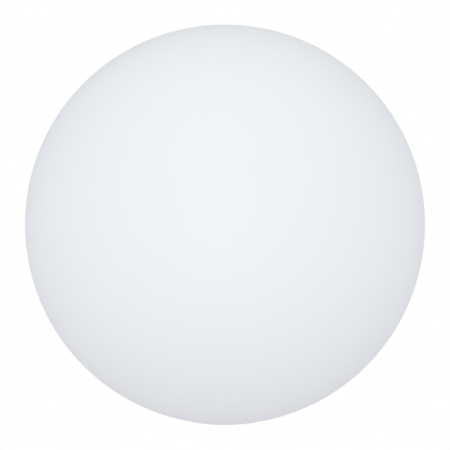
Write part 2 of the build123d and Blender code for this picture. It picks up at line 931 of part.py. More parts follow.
def wire_connectors():
    length, width, height = connector_size
    return [
        chip(led_ribbon_x, led_connector_y, length, width, height),
        chip(battery_connector_x, 0, width, length, height),
        chip(-battery_connector_x, 0, width, length, height),
        chip(0, switch_connector_y, length, width, height),
        chip(jack_connector_x, jack_y, length, width, height),
    ]


def board_screws():
    return [
        screw(small_screw, *polar(post_ring, angle), board_top, board_screw_length, False)
        for angle in post_angles
    ]


# ---------------------------------------------------------------- battery


def cell(y):
    """A round cell along X, with its raised cap towards +X."""
    half = cell_length / 2
    can = bar(cell_radius, -half, half - cell_cap_height, y, cell_z)
    return can + bar(cell_cap_radius, half - cell_cap_height, half, y, cell_z)


def battery_holder():
    """The tray under the cells: end walls, side walls, saddles and two screw ears."""
    half_length, inside = holder_half_length, holder_inside
    end_half = cell_offset + contact_reach + holder_wall / 2
    side = cell_pack_half_width + holder_side_gap
    side_half = inside - holder_side_inset
    tray = block((-half_length, -end_half, holder_bottom), (half_length, end_half, holder_top))
    tray += block(
        (-side_half, -side - holder_wall, holder_bottom), (side_half, side + holder_wall, holder_top)
    )
    for end in (-1, 1):
        ends = sorted((end * inside, end * half_length))
        tray += block((ends[0], -end_half, holder_bottom), (ends[1], end_half, holder_end_top))
        walls = sorted((end * side, end * (side + holder_wall)))
        tray += block(
            (-side_half, walls[0], holder_bottom), (side_half, walls[1], holder_top + holder_wall_height)
        )
    for x in (-saddle_pitch, 0, saddle_pitch):
        half = saddle_thickness / 2
        tray += block((x - half, -side, holder_bottom), (x + half, side, holder_top + saddle_height))
    for x, y in holder_ears:
        tray += disc(ear_radius, holder_bottom, holder_top, x, y)
        inward = sorted((0, y))
        tray += block((x - ear_radius, inward[0], holder_bottom), (x + ear_radius, inward[1], holder_top))
        tray -= disc(small_screw[2] + screw_hole_gap, holder_bottom, holder_top, x, y)
    for y in (-cell_offset, cell_offset):
        tray -= bar(cell_radius + cell_fit, -inside, inside, y, cell_z)
    return tray


def battery_contacts():
    """A plate against the inside of each end wall, which joins the two cells."""
    half_width = cell_offset + contact_reach
    plates = []
    for end in (-1, 1):
        ends = sorted((end * contact_face, end * holder_inside))
        low = (ends[0], -half_width, cell_z - contact_drop)
        plates.append(block(low, (ends[1], half_width, holder_end_top)))
    return plates


def contact_springs():
    """A bowed leaf between each contact plate and the end of its cell."""
    plate, end = contact_face, cell_length / 2
    inner_spread = spring_spread - spring_leaf
    leaves = []
    for side in (-1, 1):
        for y in (-cell_offset, cell_offset):
            leaf = Polygon(
                (side * end, cell_z - spring_tip),
                (side * end, cell_z + spring_tip),
                (side * plate, cell_z + spring_spread),
                (side * plate, cell_z + inner_spread),
                (side * (end + contact_thickness), cell_z),
                (side * plate, cell_z - inner_spread),
                (side * plate, cell_z - spring_spread),
                align=None,
            )
            upright = Plane(origin=(0, y + spring_width / 2, 0), x_dir=(1, 0, 0), z_dir=(0, -1, 0))
            leaves.append(extrude(upright * leaf, spring_width))
    return leaves


# ---------------------------------------------------------------- lamp


def heat_spreader():
    plate = disc(spreader_radius, deck_top, spreader_top) - ribbon_slot(deck_top, spreader_top)
    for angle in led_screw_angles:
        plate -= disc(small_screw[2] + screw_hole_gap, deck_top, spreader_top, *polar(led_screw_ring, angle))
    return plate


def led_board():
    board = disc(led_board_radius, spreader_top, led_board_top) - ribbon_slot(spreader_top, led_board_top)
    for angle in led_screw_angles:
        place = polar(led_screw_ring, angle)
        board -= disc(small_screw[2] + screw_hole_gap, spreader_top, led_board_top, *place)
    return board


def led_packages():
    """Two rings of square lamps on the board."""
    lamps = []
    for inset, count, start in zip(led_ring_insets, led_ring_counts, led_ring_starts):
        for i in range(count):
            angle = start + i * 360 / count
            x, y = polar(led_board_radius - inset, angle)
            place = Pos(x, y, led_board_top + led_height / 2) * Rot(0, 0, angle)
            lamps.append(place * Box(led_size, led_size, led_height))
    return lamps


def led_board_screws():
    length = led_board_thickness + spreader_thickness + led_screw_bite
    return [
        screw(small_screw, *polar(led_screw_ring, angle), led_board_top, length, False)
        for angle in led_screw_angles
    ]


def cover_profile(foot_radius, bottom, top, shoulder):
    """Half the outline of an upturned cup: a drafted wall, a rounded shoulder and a flat top."""
    wall_top = foot_radius - cover_draft
    return [
        Line((foot_radius, 0, bottom), (wall_top, 0, top - shoulder)),
        ThreePointArc(
            (wall_top, 0, top - shoulder),
            (wall_top - shoulder * (1 - math.sqrt(0.5)), 0, top - shoulder * (1 - math.sqrt(0.5))),
            (wall_top - shoulder, 0, top),
        ),
        Line((wall_top - shoulder, 0, top), (0, 0, top)),
    ]


def cup(foot_radius, bottom, top, shoulder):
    """The solid inside such an outline."""
    sides = cover_profile(foot_radius, bottom, top, shoulder)
    sides += [Line((0, 0, top), (0, 0, bottom)), Line((0, 0, bottom), (foot_radius, 0, bottom))]
    return revolve(make_face(Wire(sides)), Axis.Z)


def diffuser_cover():
    """The milky cover over the lamp: a drafted wall, a rounded shoulder and a clamped flange."""
    cover = cup(cover_foot, cover_flange_bottom, cover_top, cover_shoulder)
    cover += disc(cover_flange_outer, cover_flange_bottom, cover_flange_top)
    cover -= cup(cover_inner, cover_flange_bottom, cover_top - cover_wall, cover_shoulder - cover_wall)
    for angle in clamp_screw_angles:
        place = polar(clamp_screw_ring, angle)
        cover -= disc(small_screw[2] + screw_hole_gap, cover_flange_bottom, cover_flange_top, *place)
    return cover


def cover_gasket():
    gasket = ring(cover_inner, cover_flange_outer, deck_top, cover_flange_bottom)
    for angle in clamp_screw_angles:
        place = polar(clamp_screw_ring, angle)
        gasket -= disc(small_screw[2] + screw_hole_gap, deck_top, cover_flange_bottom, *place)
    return gasket


def cover_clamp_ring():
    clamp = ring(cover_foot + clamp_gap, cover_flange_outer, cover_flange_top, clamp_top)
    for angle in clamp_screw_angles:
        place = polar(clamp_screw_ring, angle)
        clamp -= disc(small_screw[2] + screw_hole_gap, cover_flange_top, clamp_top, *place)
    return clamp


def cover_screws():
    return [
        screw(small_screw, *polar(clamp_screw_ring, angle), clamp_top, clamp_screw_length, False)
        for angle in clamp_screw_angles
    ]


# ---------------------------------------------------------------- the whole light


def main():
    os.makedirs("parts", exist_ok=True)

    save("globe_shell", globe_shell())
    save("globe_neck", globe_neck())
    save("neck_collar", neck_collar())

    save("base_plate", base_plate())
    for number, angle in enumerate(foot_angles, 1):
        save(f"foot_pad_{number}", foot_sector(angle, 0, 0, foot_pocket_top, foot_chamfer))
    seat_inner = bore_radius + seat_gasket_inset
    save("seat_gasket", ring(seat_inner, seat_inner + seat_gasket_width, plate_top, gasket_top))
    save("housing_gasket", ring(barrel_inner, barrel_radius, plate_top, housing_bottom))
    save("unit_housing", unit_housing())
    save("seal_ring_lower", seal_ring(seal_heights[0]))
    save("seal_ring_upper", seal_ring(seal_heights[1]))
    save("case_screws", *case_screws())
    save("status_lens", status_lens())
    save("vent_plug", vent_plug())

    save("switch_barrel", switch_barrel())
    save("switch_light_ring", switch_light_ring())
    save("switch_seal", ring(switch_radius, bezel_radius - switch_seal_inset, bezel_top, dish_floor))
    save("switch_nut", switch_nut())
    save("switch_terminals", *switch_terminals())
    save("switch_cap", switch_cap())

    save("pull_handle", pull_handle())

    save("port_door", port_door())
    save("port_door_seal", port_door_seal())
    reach = port_width / 2 + hinge_pin_reach
    save("port_hinge_pin", bar(hinge_pin_radius, -reach, reach, hinge_y, hinge_z))
    save("jack_body", jack_body())
    save("jack_pin", jack_pin())
    seal_outer = jack_flange_radius - jack_seal_inset
    save("jack_seal", ring(jack_radius, seal_outer, port_top - jack_seal_thickness, port_top, 0, jack_y))
    save("jack_nut", jack_nut())
    save("jack_terminals", *jack_terminals())

    save("control_board", control_board())
    place = on_board(main_controller_inset, main_controller_angle)
    save("main_controller", chip(*place, *main_controller_size))
    place = on_board(charge_controller_inset, charge_controller_angle)
    save("charge_controller", chip(*place, *charge_controller_size))
    place = on_board(power_inductor_inset, power_inductor_angle)
    save("power_inductor", chip(*place, *power_inductor_size))
    save("buffer_capacitors", *buffer_capacitors())
    save("wire_connectors", *wire_connectors())
    save("led_ribbon", led_ribbon())
    save("battery_ribbons", *battery_ribbons())
    save("switch_ribbon", switch_ribbon())
    save("jack_ribbon", jack_ribbon())
    save("board_screws", *board_screws())

    save("battery_holder", battery_holder())
    save("battery_cell_1", cell(-cell_offset))
    save("battery_cell_2", cell(cell_offset))
    save("battery_contacts", *battery_contacts())
    save("contact_springs", *contact_springs())
    x, y = cell_length / 2 - pad_end_inset, cell_pack_half_width - pad_side_inset
    save("battery_pad", block((-x, -y, pad_bottom), (x, y, deck_bottom)))
    save(
        "holder_screws",
        *[screw(small_screw, x, y, holder_bottom, holder_screw_length, True) for x, y in holder_ears],
    )

    save("heat_spreader", heat_spreader())
    save("led_board", led_board())
    save("led_packages", *led_packages())
    save("led_board_screws", *led_board_screws())
    length, width, height = receiver_size
    save(
        "remote_receiver",
        block((-length / 2, -width / 2, led_board_top), (length / 2, width / 2, led_board_top + height)),
    )
    save("lamp_connector", lamp_connector())
    save("diffuser_cover", diffuser_cover())
    save("cover_gasket", cover_gasket())
    save("cover_clamp_ring", cover_clamp_ring())
    save("cover_screws", *cover_screws())


if __name__ == "__main__":
    main()
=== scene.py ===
"""Finishes and stages the garden globe light: its glowing ball, its light unit, and the studio round it."""

import math
from collections import namedtuple

import bmesh
import bpy
from mathutils import Matrix, Vector


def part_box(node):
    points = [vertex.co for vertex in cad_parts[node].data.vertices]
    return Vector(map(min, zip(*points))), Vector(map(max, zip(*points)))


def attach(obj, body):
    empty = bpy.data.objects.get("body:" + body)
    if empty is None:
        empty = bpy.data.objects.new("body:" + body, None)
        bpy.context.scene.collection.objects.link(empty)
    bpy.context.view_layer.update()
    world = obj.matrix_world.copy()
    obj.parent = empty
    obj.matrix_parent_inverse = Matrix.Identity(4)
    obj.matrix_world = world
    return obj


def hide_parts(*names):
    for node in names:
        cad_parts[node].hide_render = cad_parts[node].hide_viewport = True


bl_info = {
    "name": "Garden globe light",
    "version": (1, 0, 0),
    "blender": (4, 5, 0),
    "location": "3D View > Sidebar > Globe light",
    "description": "Finishes for a rechargeable garden globe light and its light unit",
    "category": "Object",
}

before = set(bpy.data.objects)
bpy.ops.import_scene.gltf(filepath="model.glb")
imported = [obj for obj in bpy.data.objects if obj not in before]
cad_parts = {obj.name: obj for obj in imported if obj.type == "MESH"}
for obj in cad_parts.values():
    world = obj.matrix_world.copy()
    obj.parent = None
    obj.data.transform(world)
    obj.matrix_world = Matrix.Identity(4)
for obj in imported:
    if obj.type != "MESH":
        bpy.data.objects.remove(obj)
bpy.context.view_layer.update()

MM = 0.001
BALL_RADIUS = (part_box("globe_shell")[1].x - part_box("globe_shell")[0].x) / 2
BALL_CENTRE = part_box("globe_shell")[1].z - BALL_RADIUS

# Sizes in millimetres. A screw has its head radius, head height and shank radius,
# and its recess has a width and a depth.
WELD_RADIUS = 50.0
CASE_SCREW, CASE_SOCKET = (2.7, 1.8, 1.4), (2.5, 1.1)
SMALL_SCREW, SMALL_CROSS = (2.2, 1.4, 1.1), (1.3, 0.9)
THREAD_PITCH = 0.5

# Each ring of lamps has its radius, its count and the angle of its first lamp in degrees.
LAMP_RINGS = ((22.0, 12, 15.0), (12.0, 6, 0.0))

# The finishes' colours, apart from those in the settings.
COLLAR_WHITE, DOOR_WHITE = (0.84, 0.85, 0.86), (0.84, 0.845, 0.85)
PAD_GREY, FOAM_GREY, LEAD_GREY = (0.24, 0.25, 0.26), (0.10, 0.10, 0.105), (0.42, 0.42, 0.41)
JACK_BLACK, VENT_BLACK, CHIP_BLACK = (0.025, 0.025, 0.028), (0.03, 0.03, 0.033), (0.02, 0.02, 0.022)
ZINC, BRIGHT_STEEL, HANDLE_STEEL = (0.60, 0.61, 0.60), (0.56, 0.55, 0.54), (0.52, 0.51, 0.50)
NICKEL_PIN, NICKEL_STRIP = (0.72, 0.67, 0.52), (0.72, 0.68, 0.55)
CAN_ALUMINIUM, MILLED_ALUMINIUM = (0.74, 0.75, 0.76), (0.76, 0.77, 0.78)
MASK_GREEN, TRACK_GREEN = (0.02, 0.18, 0.07), (0.05, 0.30, 0.13)
MASK_WHITE, TRACK_WHITE = (0.82, 0.82, 0.80), (0.74, 0.74, 0.72)
PLATED_HOLE, BARE_STEEL = (0.72, 0.66, 0.42), (0.62, 0.62, 0.60)
CONNECTOR_IVORY, CELL_BLUE = (0.72, 0.68, 0.56), (0.03, 0.12, 0.32)
LAMP_FRAME, LAMP_GLOW = (0.84, 0.84, 0.82), (1.0, 0.93, 0.72)
MILKY_PALE, OPAL_PALE = (0.80, 0.81, 0.82), (0.70, 0.71, 0.72)
OPAL_DIM, OPAL_BRIGHT = (0.28, 0.30, 0.32), (0.60, 0.59, 0.55)

OWN_PLACE = "own_place"
NUMBER, COLOUR, PLACE = "NodeSocketFloat", "NodeSocketColor", "NodeSocketVector"
SHARED = {}


# ---------------------------------------------------------------- settings


def colour_setting(name, description, default):
    return bpy.props.FloatVectorProperty(
        name=name, description=description, subtype="COLOR", min=0, max=1, default=default
    )


def number_setting(name, description, low, high, default, subtype="NONE", unit="NONE"):
    return bpy.props.FloatProperty(
        name=name,
        description=description,
        min=low,
        max=high,
        default=default,
        subtype=subtype,
        unit=unit,
    )


def share_setting(name, description, low, high, default):
    return number_setting(name, description, low, high, default, "FACTOR")


def length_setting(name, description, low, high, default):
    return number_setting(name, description, low, high, default, "DISTANCE", "LENGTH")


def angle_setting(name, description, low, high, default):
    return number_setting(name, description, low, high, default, "ANGLE", "ROTATION")


class GlowSettings(bpy.types.PropertyGroup):
    """The ball's milky wall and the light behind it."""

    # Top and foot glow colours: over the lamp's own glow, painted light at the top and painted shade at the
    # foot.
    top: colour_setting(
        "Glow at the top", "Colour that the wall passes near the top of the ball", (0.409, 0.435, 0.466)
    )
    foot: colour_setting(
        "Glow at the foot",
        "Colour that the wall passes near the foot, where the unit shades it",
        (0.125, 0.134, 0.1765),
    )
    strength: number_setting("Strength", "Strength of the glow", 0, 4, 1.0)
    cloud: share_setting("Cloud", "How much the glow drifts with the thickness of the wall", 0, 0.1, 0.012)
    # Inside: painted shade, a darker tone for the inner face of the wall.
    inside: share_setting("Inside", "Tone of the inner face of the wall", 0, 1, 0.72)
    wall: length_setting("Wall", "Thickness of the ball's wall", 0.001, 0.01, 3.0 * MM)
    skin: length_setting("Skin ripple", "Width of one ripple of the orange-peel skin", 0.0002, 0.01, 1.6 * MM)
    depth: length_setting("Ripple depth", "Depth of the orange-peel skin", 0.0, 0.001, 0.02 * MM)


class UnitSettings(bpy.types.PropertyGroup):
    """The light unit's main colours and its foot pads."""

    plastic: colour_setting(
        "Plastic", "Colour of the base plate, the housing and the clamp ring", (0.86, 0.865, 0.87)
    )
    silicone: colour_setting("Seals", "Colour of the seal rings and gaskets", (0.30, 0.32, 0.33))
    steel: colour_setting("Button steel", "Colour of the push button", (0.58, 0.57, 0.56))
    button_glow: colour_setting("Button light", "Colour of the push button's lit ring", (0.75, 0.88, 1.0))
    status_glow: colour_setting(
        "Status light", "Colour of the lens that shows the charge", (0.30, 0.62, 0.42)
    )
    pad_width: length_setting("Pad width", "Width of a foot pad across its ribs", 0.002, 0.006, 4.8 * MM)
    pad_arc: angle_setting(
        "Pad arc", "Angle that one foot pad covers", math.radians(10), math.radians(85), math.radians(52)
    )
    pad_grooves: bpy.props.IntProperty(
        name="Pad grooves", description="Grooves along each foot pad", min=1, max=12, default=5
    )


class StageSettings(bpy.types.PropertyGroup):
    """The camera, the lights and the floor."""

    distance: length_setting("Camera distance", "From the middle of the ball to the lens", 0.3, 10, 0.9)
    elevation: angle_setting(
        "Camera elevation", "Angle of the lens above the middle of the ball", -1.5, 1.5, math.radians(13)
    )
    fill: share_setting("Ball in the frame", "The ball's share of the frame's width", 0.05, 1, 400.0 / 450.0)
    key: number_setting("Key light", "Power of the large soft light in front", 0, 500, 6.4)
    sky_top: number_setting("Light from above", "Strength of the surroundings overhead", 0, 4, 0.45)
    sky_foot: number_setting("Light from below", "Strength of the floor's reflected light", 0, 4, 0.65)


# ---------------------------------------------------------------- node helpers


class Tree:
    """Adds and links the nodes of one node tree."""

    def __init__(self, tree):
        self.tree = tree
        self.link = tree.links.new

    def feed(self, socket, value):
        """Links a socket to another, or sets its value."""
        if isinstance(value, bpy.types.NodeSocket):
            self.link(value, socket)
        else:
            socket.default_value = value

    def add(self, kind, inputs=None, **settings):
        """A new node, with its settings and the values or links of its inputs."""
        node = self.tree.nodes.new(kind)
        for key, value in settings.items():
            setattr(node, key, value)
        for key, value in (inputs or {}).items():
            self.feed(node.inputs[key], value)
        return node

    def math(self, operation, *values):
        return self.add("ShaderNodeMath", dict(enumerate(values)), operation=operation).outputs[0]

    def vector(self, operation, first, second):
        return self.add("ShaderNodeVectorMath", {0: first, 1: second}, operation=operation).outputs

    def noise(self, vector, scale, detail=2.0, roughness=0.5):
        inputs = {"Vector": vector, "Scale": scale, "Detail": detail, "Roughness": roughness}
        return self.add("ShaderNodeTexNoise", inputs).outputs["Fac"]

    def cells(self, vector, scale):
        inputs = {"Vector": vector, "Scale": scale}
        return self.add("ShaderNodeTexVoronoi", inputs).outputs["Distance"]

    def spread(self, value, low, high, to_low=0.0, to_high=1.0, curve="LINEAR"):
        """The value, moved from one span to another and held inside it."""
        inputs = {0: value, 1: low, 2: high, 3: to_low, 4: to_high}
        return self.add("ShaderNodeMapRange", inputs, interpolation_type=curve).outputs[0]

    def swing(self, value, amount, middle):
        """A value from 0 to 1, turned into a small swing either side of a middle."""
        return self.math("ADD", middle, self.math("MULTIPLY", self.math("SUBTRACT", value, 0.5), amount))

    def mix(self, factor, first, second, blend="MIX"):
        """Two colours, mixed."""
        node = self.add("ShaderNodeMix", data_type="RGBA", blend_type=blend)
        for key, value in ((0, factor), (6, first), (7, second)):
            self.feed(node.inputs[key], value)
        return node.outputs[2]

    def toned(self, colour, tone):
        """A colour, darkened by a tone from 0 to 1."""
        grey = self.add("ShaderNodeCombineColor", {0: tone, 1: tone, 2: tone}).outputs[0]
        return self.mix(1.0, colour, grey, "MULTIPLY")

    def here(self):
        return self.add("ShaderNodeTexCoord").outputs["Object"]

    def axes(self, vector):
        return self.add("ShaderNodeSeparateXYZ", {0: vector}).outputs

    def length(self, first, second):
        """The length of a line by its two sides."""
        squares = (self.math("POWER", side, 2.0) for side in (first, second))
        return self.math("SQRT", self.math("ADD", *squares))


def solid(colour):
    return (*colour, 1)


def effect(name, inputs, outputs):
    """A new shader node group with named inputs and outputs."""
    tree = bpy.data.node_groups.new(name, "ShaderNodeTree")
    for label, kind, value in inputs:
        tree.interface.new_socket(label, in_out="INPUT", socket_type=kind).default_value = value
    for label, kind in outputs:
        tree.interface.new_socket(label, in_out="OUTPUT", socket_type=kind)
    nodes = Tree(tree)
    return nodes, nodes.add("NodeGroupInput").outputs, nodes.add("NodeGroupOutput").inputs


def moulded_grain():
    """Fine spark-eroded grain of a moulded face, with a slow drift of its tone and gloss."""
    inputs = [
        ("Colour", COLOUR, (0.8, 0.8, 0.8, 1)),
        ("Grain", NUMBER, 2200.0),
        ("Drift", NUMBER, 0.03),
        ("Gloss", NUMBER, 0.45),
    ]
    outputs = [("Colour", COLOUR), ("Roughness", NUMBER), ("Height", NUMBER)]
    nodes, given, made = effect("moulded_grain", inputs, outputs)
    here = nodes.here()
    fine = nodes.noise(here, given["Grain"], detail=3.0, roughness=0.6)
    slow = nodes.noise(here, scale=22.0)
    nodes.link(nodes.toned(given["Colour"], nodes.swing(slow, given["Drift"], middle=1.0)), made["Colour"])
    nodes.link(nodes.swing(fine, 0.16, given["Gloss"]), made["Roughness"])
    nodes.link(fine, made["Height"])
    return nodes.tree


def turned_lines():
    """Fine rings left by a lathe or a polishing wheel round the upright axis of a place."""
    inputs = [("Place", PLACE, (0, 0, 0)), ("Pitch", NUMBER, 0.0002), ("Gloss", NUMBER, 0.24)]
    outputs = [("Roughness", NUMBER), ("Height", NUMBER)]
    nodes, given, made = effect("turned_lines", inputs, outputs)
    flat = nodes.vector("MULTIPLY", given["Place"], (1, 1, 0))[0]
    radius = nodes.add("ShaderNodeVectorMath", {0: flat}, operation="LENGTH").outputs["Value"]
    way = nodes.math("ADD", radius, nodes.axes(given["Place"])[2])
    rings = nodes.add(
        "ShaderNodeTexNoise",
        {"W": nodes.math("DIVIDE", way, given["Pitch"]), "Scale": 1.0, "Detail": 2.0},
        noise_dimensions="1D",
    ).outputs["Fac"]
    smear = nodes.noise(nodes.here(), scale=160.0)
    rough = nodes.math("ADD", nodes.math("MULTIPLY", rings, 0.10), nodes.math("MULTIPLY", smear, 0.08))
    nodes.link(rings, made["Height"])
    nodes.link(nodes.math("ADD", given["Gloss"], rough), made["Roughness"])
    return nodes.tree


def speckle():
    """Scattered specks, such as dust on rubber or pores in foam."""
    inputs = [("Size", NUMBER, 900.0), ("Amount", NUMBER, 0.2)]
    nodes, given, made = effect("speckle", inputs, [("Mask", NUMBER), ("Height", NUMBER)])
    cells = nodes.cells(nodes.here(), given["Size"])
    patches = nodes.noise(nodes.here(), scale=60.0, detail=3.0)
    dots = nodes.spread(cells, low=0.12, high=0.3, to_low=1.0, to_high=0.0)
    nodes.link(nodes.math("MULTIPLY", nodes.math("MULTIPLY", dots, patches), given["Amount"]), made["Mask"])
    nodes.link(cells, made["Height"])
    return nodes.tree


# ---------------------------------------------------------------- materials


def material(name, colour, roughness, **sockets):
    """A material with one shader, whose even values stay on the shader's own sockets."""
    finish = bpy.data.materials.new(name)
    finish.use_nodes = True
    shader = finish.node_tree.nodes["Principled BSDF"]
    shader.inputs["Base Color"].default_value = solid(colour)
    shader.inputs["Roughness"].default_value = roughness
    for label, value in sockets.items():
        shader.inputs[label.replace("_", " ")].default_value = value
    finish.diffuse_color = solid(colour)
    return finish, Tree(finish.node_tree), shader


def bumped(nodes, shader, height, depth, edge=0.0):
    """Feeds a height to the shader's normal, over rounded edges if an edge radius is given."""
    inputs = {"Height": height, "Distance": depth, "Strength": 1.0}
    if edge:
        inputs["Normal"] = nodes.add("ShaderNodeBevel", {"Radius": edge}, samples=4).outputs[0]
    nodes.link(nodes.add("ShaderNodeBump", inputs).outputs[0], shader.inputs["Normal"])


def placed(nodes, tree, **inputs):
    """A shared effect, placed in a material with its own values."""
    inputs = {label.capitalize(): value for label, value in inputs.items()}
    return nodes.add("ShaderNodeGroup", inputs, node_tree=tree).outputs


def moulded(name, colour, gloss=0.45):
    """Moulded plastic with a fine grain and softened edges."""
    finish, nodes, shader = material(name, colour, gloss)
    made = placed(nodes, SHARED["grain"], colour=solid(colour), grain=2200.0, drift=0.04, gloss=gloss)
    nodes.link(made["Colour"], shader.inputs["Base Color"])
    nodes.link(made["Roughness"], shader.inputs["Roughness"])
    bumped(nodes, shader, made["Height"], depth=0.02 * MM, edge=0.25 * MM)
    return finish


def turned_metal(name, colour, gloss=0.22, own=False, pitch=0.2 * MM, depth=0.004 * MM):
    """Metal with fine rings, round the object's axis or round each copy's own."""
    finish, nodes, shader = material(name, colour, gloss, Metallic=1.0)
    place = nodes.here()
    if own:
        place = nodes.add("ShaderNodeAttribute", attribute_name=OWN_PLACE).outputs["Vector"]
    made = placed(nodes, SHARED["turned"], place=place, pitch=pitch, gloss=gloss)
    nodes.link(made["Roughness"], shader.inputs["Roughness"])
    bumped(nodes, shader, made["Height"], depth, edge=0.2 * MM)
    return finish


def rubber(name, colour, dust=0.25, size=1500.0):
    """Soft rubber or foam, with pale dust in its pores."""
    finish, nodes, shader = material(name, colour, 0.72)
    made = placed(nodes, SHARED["speckle"], size=size, amount=dust)
    dusty = tuple(0.5 * c + 0.35 for c in colour)
    nodes.link(nodes.mix(made["Mask"], solid(colour), solid(dusty)), shader.inputs["Base Color"])
    bumped(nodes, shader, made["Height"], depth=0.02 * MM, edge=0.25 * MM)
    return finish


def milky(name, glow, strength, inner_painted_shade=1.0):
    """Translucent wall, lit from inside: it glows under a soft coat, and drifts with the wall's thickness.
    Its glow has painted light towards the top and painted shade towards the foot, and its inner face is
    darkened as painted shade.
    """
    finish, nodes, shader = material(
        name,
        MILKY_PALE,
        0.45,
        Coat_Weight=1.0,
        Coat_Roughness=0.35,
        Coat_IOR=1.45,
        Specular_IOR_Level=0.2,
        Emission_Strength=strength,
    )
    here = nodes.here()
    # The lamp's glow, graded from a darker colour at the foot to a brighter one at the top: painted shade at
    # the foot and painted light at the top.
    rise = nodes.spread(nodes.axes(here)[2], 0.0, BALL_CENTRE + BALL_RADIUS)
    lit = nodes.mix(rise, solid(glow.foot), solid(glow.top))
    cloud = nodes.spread(nodes.noise(here, scale=14.0, detail=3.0), 0.3, 0.7, 1.0 - glow.cloud, 1.0)
    # Painted shade: the base colour darkens on the wall's inner face, back to full over the last 2 mm towards
    # the outer skin.
    away = nodes.vector("DISTANCE", here, (0, 0, BALL_CENTRE))["Value"]
    tone = nodes.spread(away, BALL_RADIUS - 2.5 * MM, BALL_RADIUS - 0.5 * MM, inner_painted_shade, 1.0)
    nodes.link(nodes.toned(solid(MILKY_PALE), tone), shader.inputs["Base Color"])
    nodes.link(nodes.toned(lit, cloud), shader.inputs["Emission Color"])
    bumped(nodes, shader, nodes.noise(here, 1.0 / glow.skin), glow.depth)
    return finish


def opal(name):
    """The lamp's cover: bright, with a soft hot spot over each lamp under it."""
    finish, nodes, shader = material(name, OPAL_PALE, 0.35, Emission_Strength=1.0, Coat_Weight=0.5)
    spot_radius, shoulder, crown = 9.0 * MM, 55.0 * MM, 63.0 * MM
    x, y, z = nodes.axes(nodes.here())
    radius, angle = nodes.length(x, y), nodes.math("ARCTAN2", y, x)
    spots = None
    for ring, count, start in LAMP_RINGS:
        half_step = math.pi / count
        turn = nodes.math("PINGPONG", nodes.math("ADD", angle, 4 * math.pi - math.radians(start)), half_step)
        across = nodes.math("MULTIPLY", turn, ring * MM)
        along = nodes.math("SUBTRACT", radius, ring * MM)
        spot = nodes.spread(nodes.length(across, along), 0.0, spot_radius, 1.0, 0.0, curve="SMOOTHERSTEP")
        spots = spot if spots is None else nodes.math("MAXIMUM", spots, spot)
    soft = nodes.math("SMOOTH_MIN", spots, 1.0, 0.3)
    bright = nodes.math("MULTIPLY", soft, nodes.spread(z, shoulder, crown))
    nodes.link(nodes.mix(bright, solid(OPAL_DIM), solid(OPAL_BRIGHT)), shader.inputs["Emission Color"])
    bumped(nodes, shader, nodes.noise(nodes.here(), scale=900.0), depth=0.01 * MM, edge=0.3 * MM)
    return finish


def circuit(name, mask, track, scale):
    """Solder mask over tracks, with small plated holes."""
    finish, nodes, shader = material(name, mask, 0.35)
    here = nodes.here()
    eighth_turn, holes_per_track = 0.785, 4.5
    slanted = nodes.add("ShaderNodeMapping", {"Vector": here, "Rotation": (0, 0, eighth_turn)}).outputs[0]
    tracks = nodes.add(
        "ShaderNodeTexBrick",
        {"Vector": slanted, "Scale": scale, "Mortar Size": 0.03, "Mortar Smooth": 0.2, "Bias": 0.0},
    ).outputs["Fac"]
    cells = nodes.cells(here, scale * holes_per_track)
    hole = nodes.spread(cells, low=0.10, high=0.13, to_low=1.0, to_high=0.0)
    board = nodes.mix(tracks, solid(mask), solid(track))
    nodes.link(nodes.mix(hole, board, solid(PLATED_HOLE)), shader.inputs["Base Color"])
    bumped(nodes, shader, tracks, depth=0.03 * MM)
    return finish


def cell_wrap(name, colour):
    """Shrink wrap on the cells, wrinkled at the ends, with bare steel at the contacts."""
    finish, nodes, shader = material(name, colour, 0.3)
    here = nodes.here()
    wrap_end, wrinkles = 31.8 * MM, (26.0 * MM, 32.0 * MM)
    along = nodes.math("ABSOLUTE", nodes.axes(here)[0])
    bare = nodes.spread(along, wrap_end, wrap_end + 0.1 * MM)
    nodes.link(nodes.mix(bare, solid(colour), solid(BARE_STEEL)), shader.inputs["Base Color"])
    nodes.link(bare, shader.inputs["Metallic"])
    ripple = nodes.noise(here, scale=420.0, detail=3.0)
    crease = nodes.math("MULTIPLY", ripple, nodes.spread(along, *wrinkles))
    bumped(nodes, shader, crease, depth=0.3 * MM)
    return finish


def ribbon_lead(name, colour, across):
    """Flat lead: its conductors lie side by side across one direction, with painted shade in the grooves
    between them.
    """
    finish, nodes, shader = material(name, colour, 0.5)
    pitch = 1.0 * MM
    place = nodes.axes(nodes.here())[across]
    ridge = nodes.math("ABSOLUTE", nodes.math("SINE", nodes.math("MULTIPLY", place, math.pi / pitch)))
    # Painted shade: the colour darkens in the grooves between the conductors, where the bump is lowest.
    groove_shade = tuple(0.6 * c for c in colour)
    nodes.link(nodes.mix(ridge, solid(groove_shade), solid(colour)), shader.inputs["Base Color"])
    bumped(nodes, shader, ridge, depth=0.2 * MM)
    return finish


def lit_face(name, colour, strength):
    """A small glowing face, a little uneven."""
    finish, nodes, shader = material(name, colour, 0.25, Emission_Strength=strength, Coat_Weight=0.6)
    cloud = nodes.spread(nodes.noise(nodes.here(), scale=700.0), 0.3, 0.7, 0.9, 1.0)
    nodes.link(nodes.toned(solid(colour), cloud), shader.inputs["Emission Color"])
    bumped(nodes, shader, nodes.noise(nodes.here(), scale=1500.0), depth=0.01 * MM)
    return finish


def wear(finish, *names):
    """Gives CAD nodes their finish."""
    for name in names:
        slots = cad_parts[name].data.materials
        slots.clear()
        slots.append(finish)


# ---------------------------------------------------------------- shapes that follow a rule


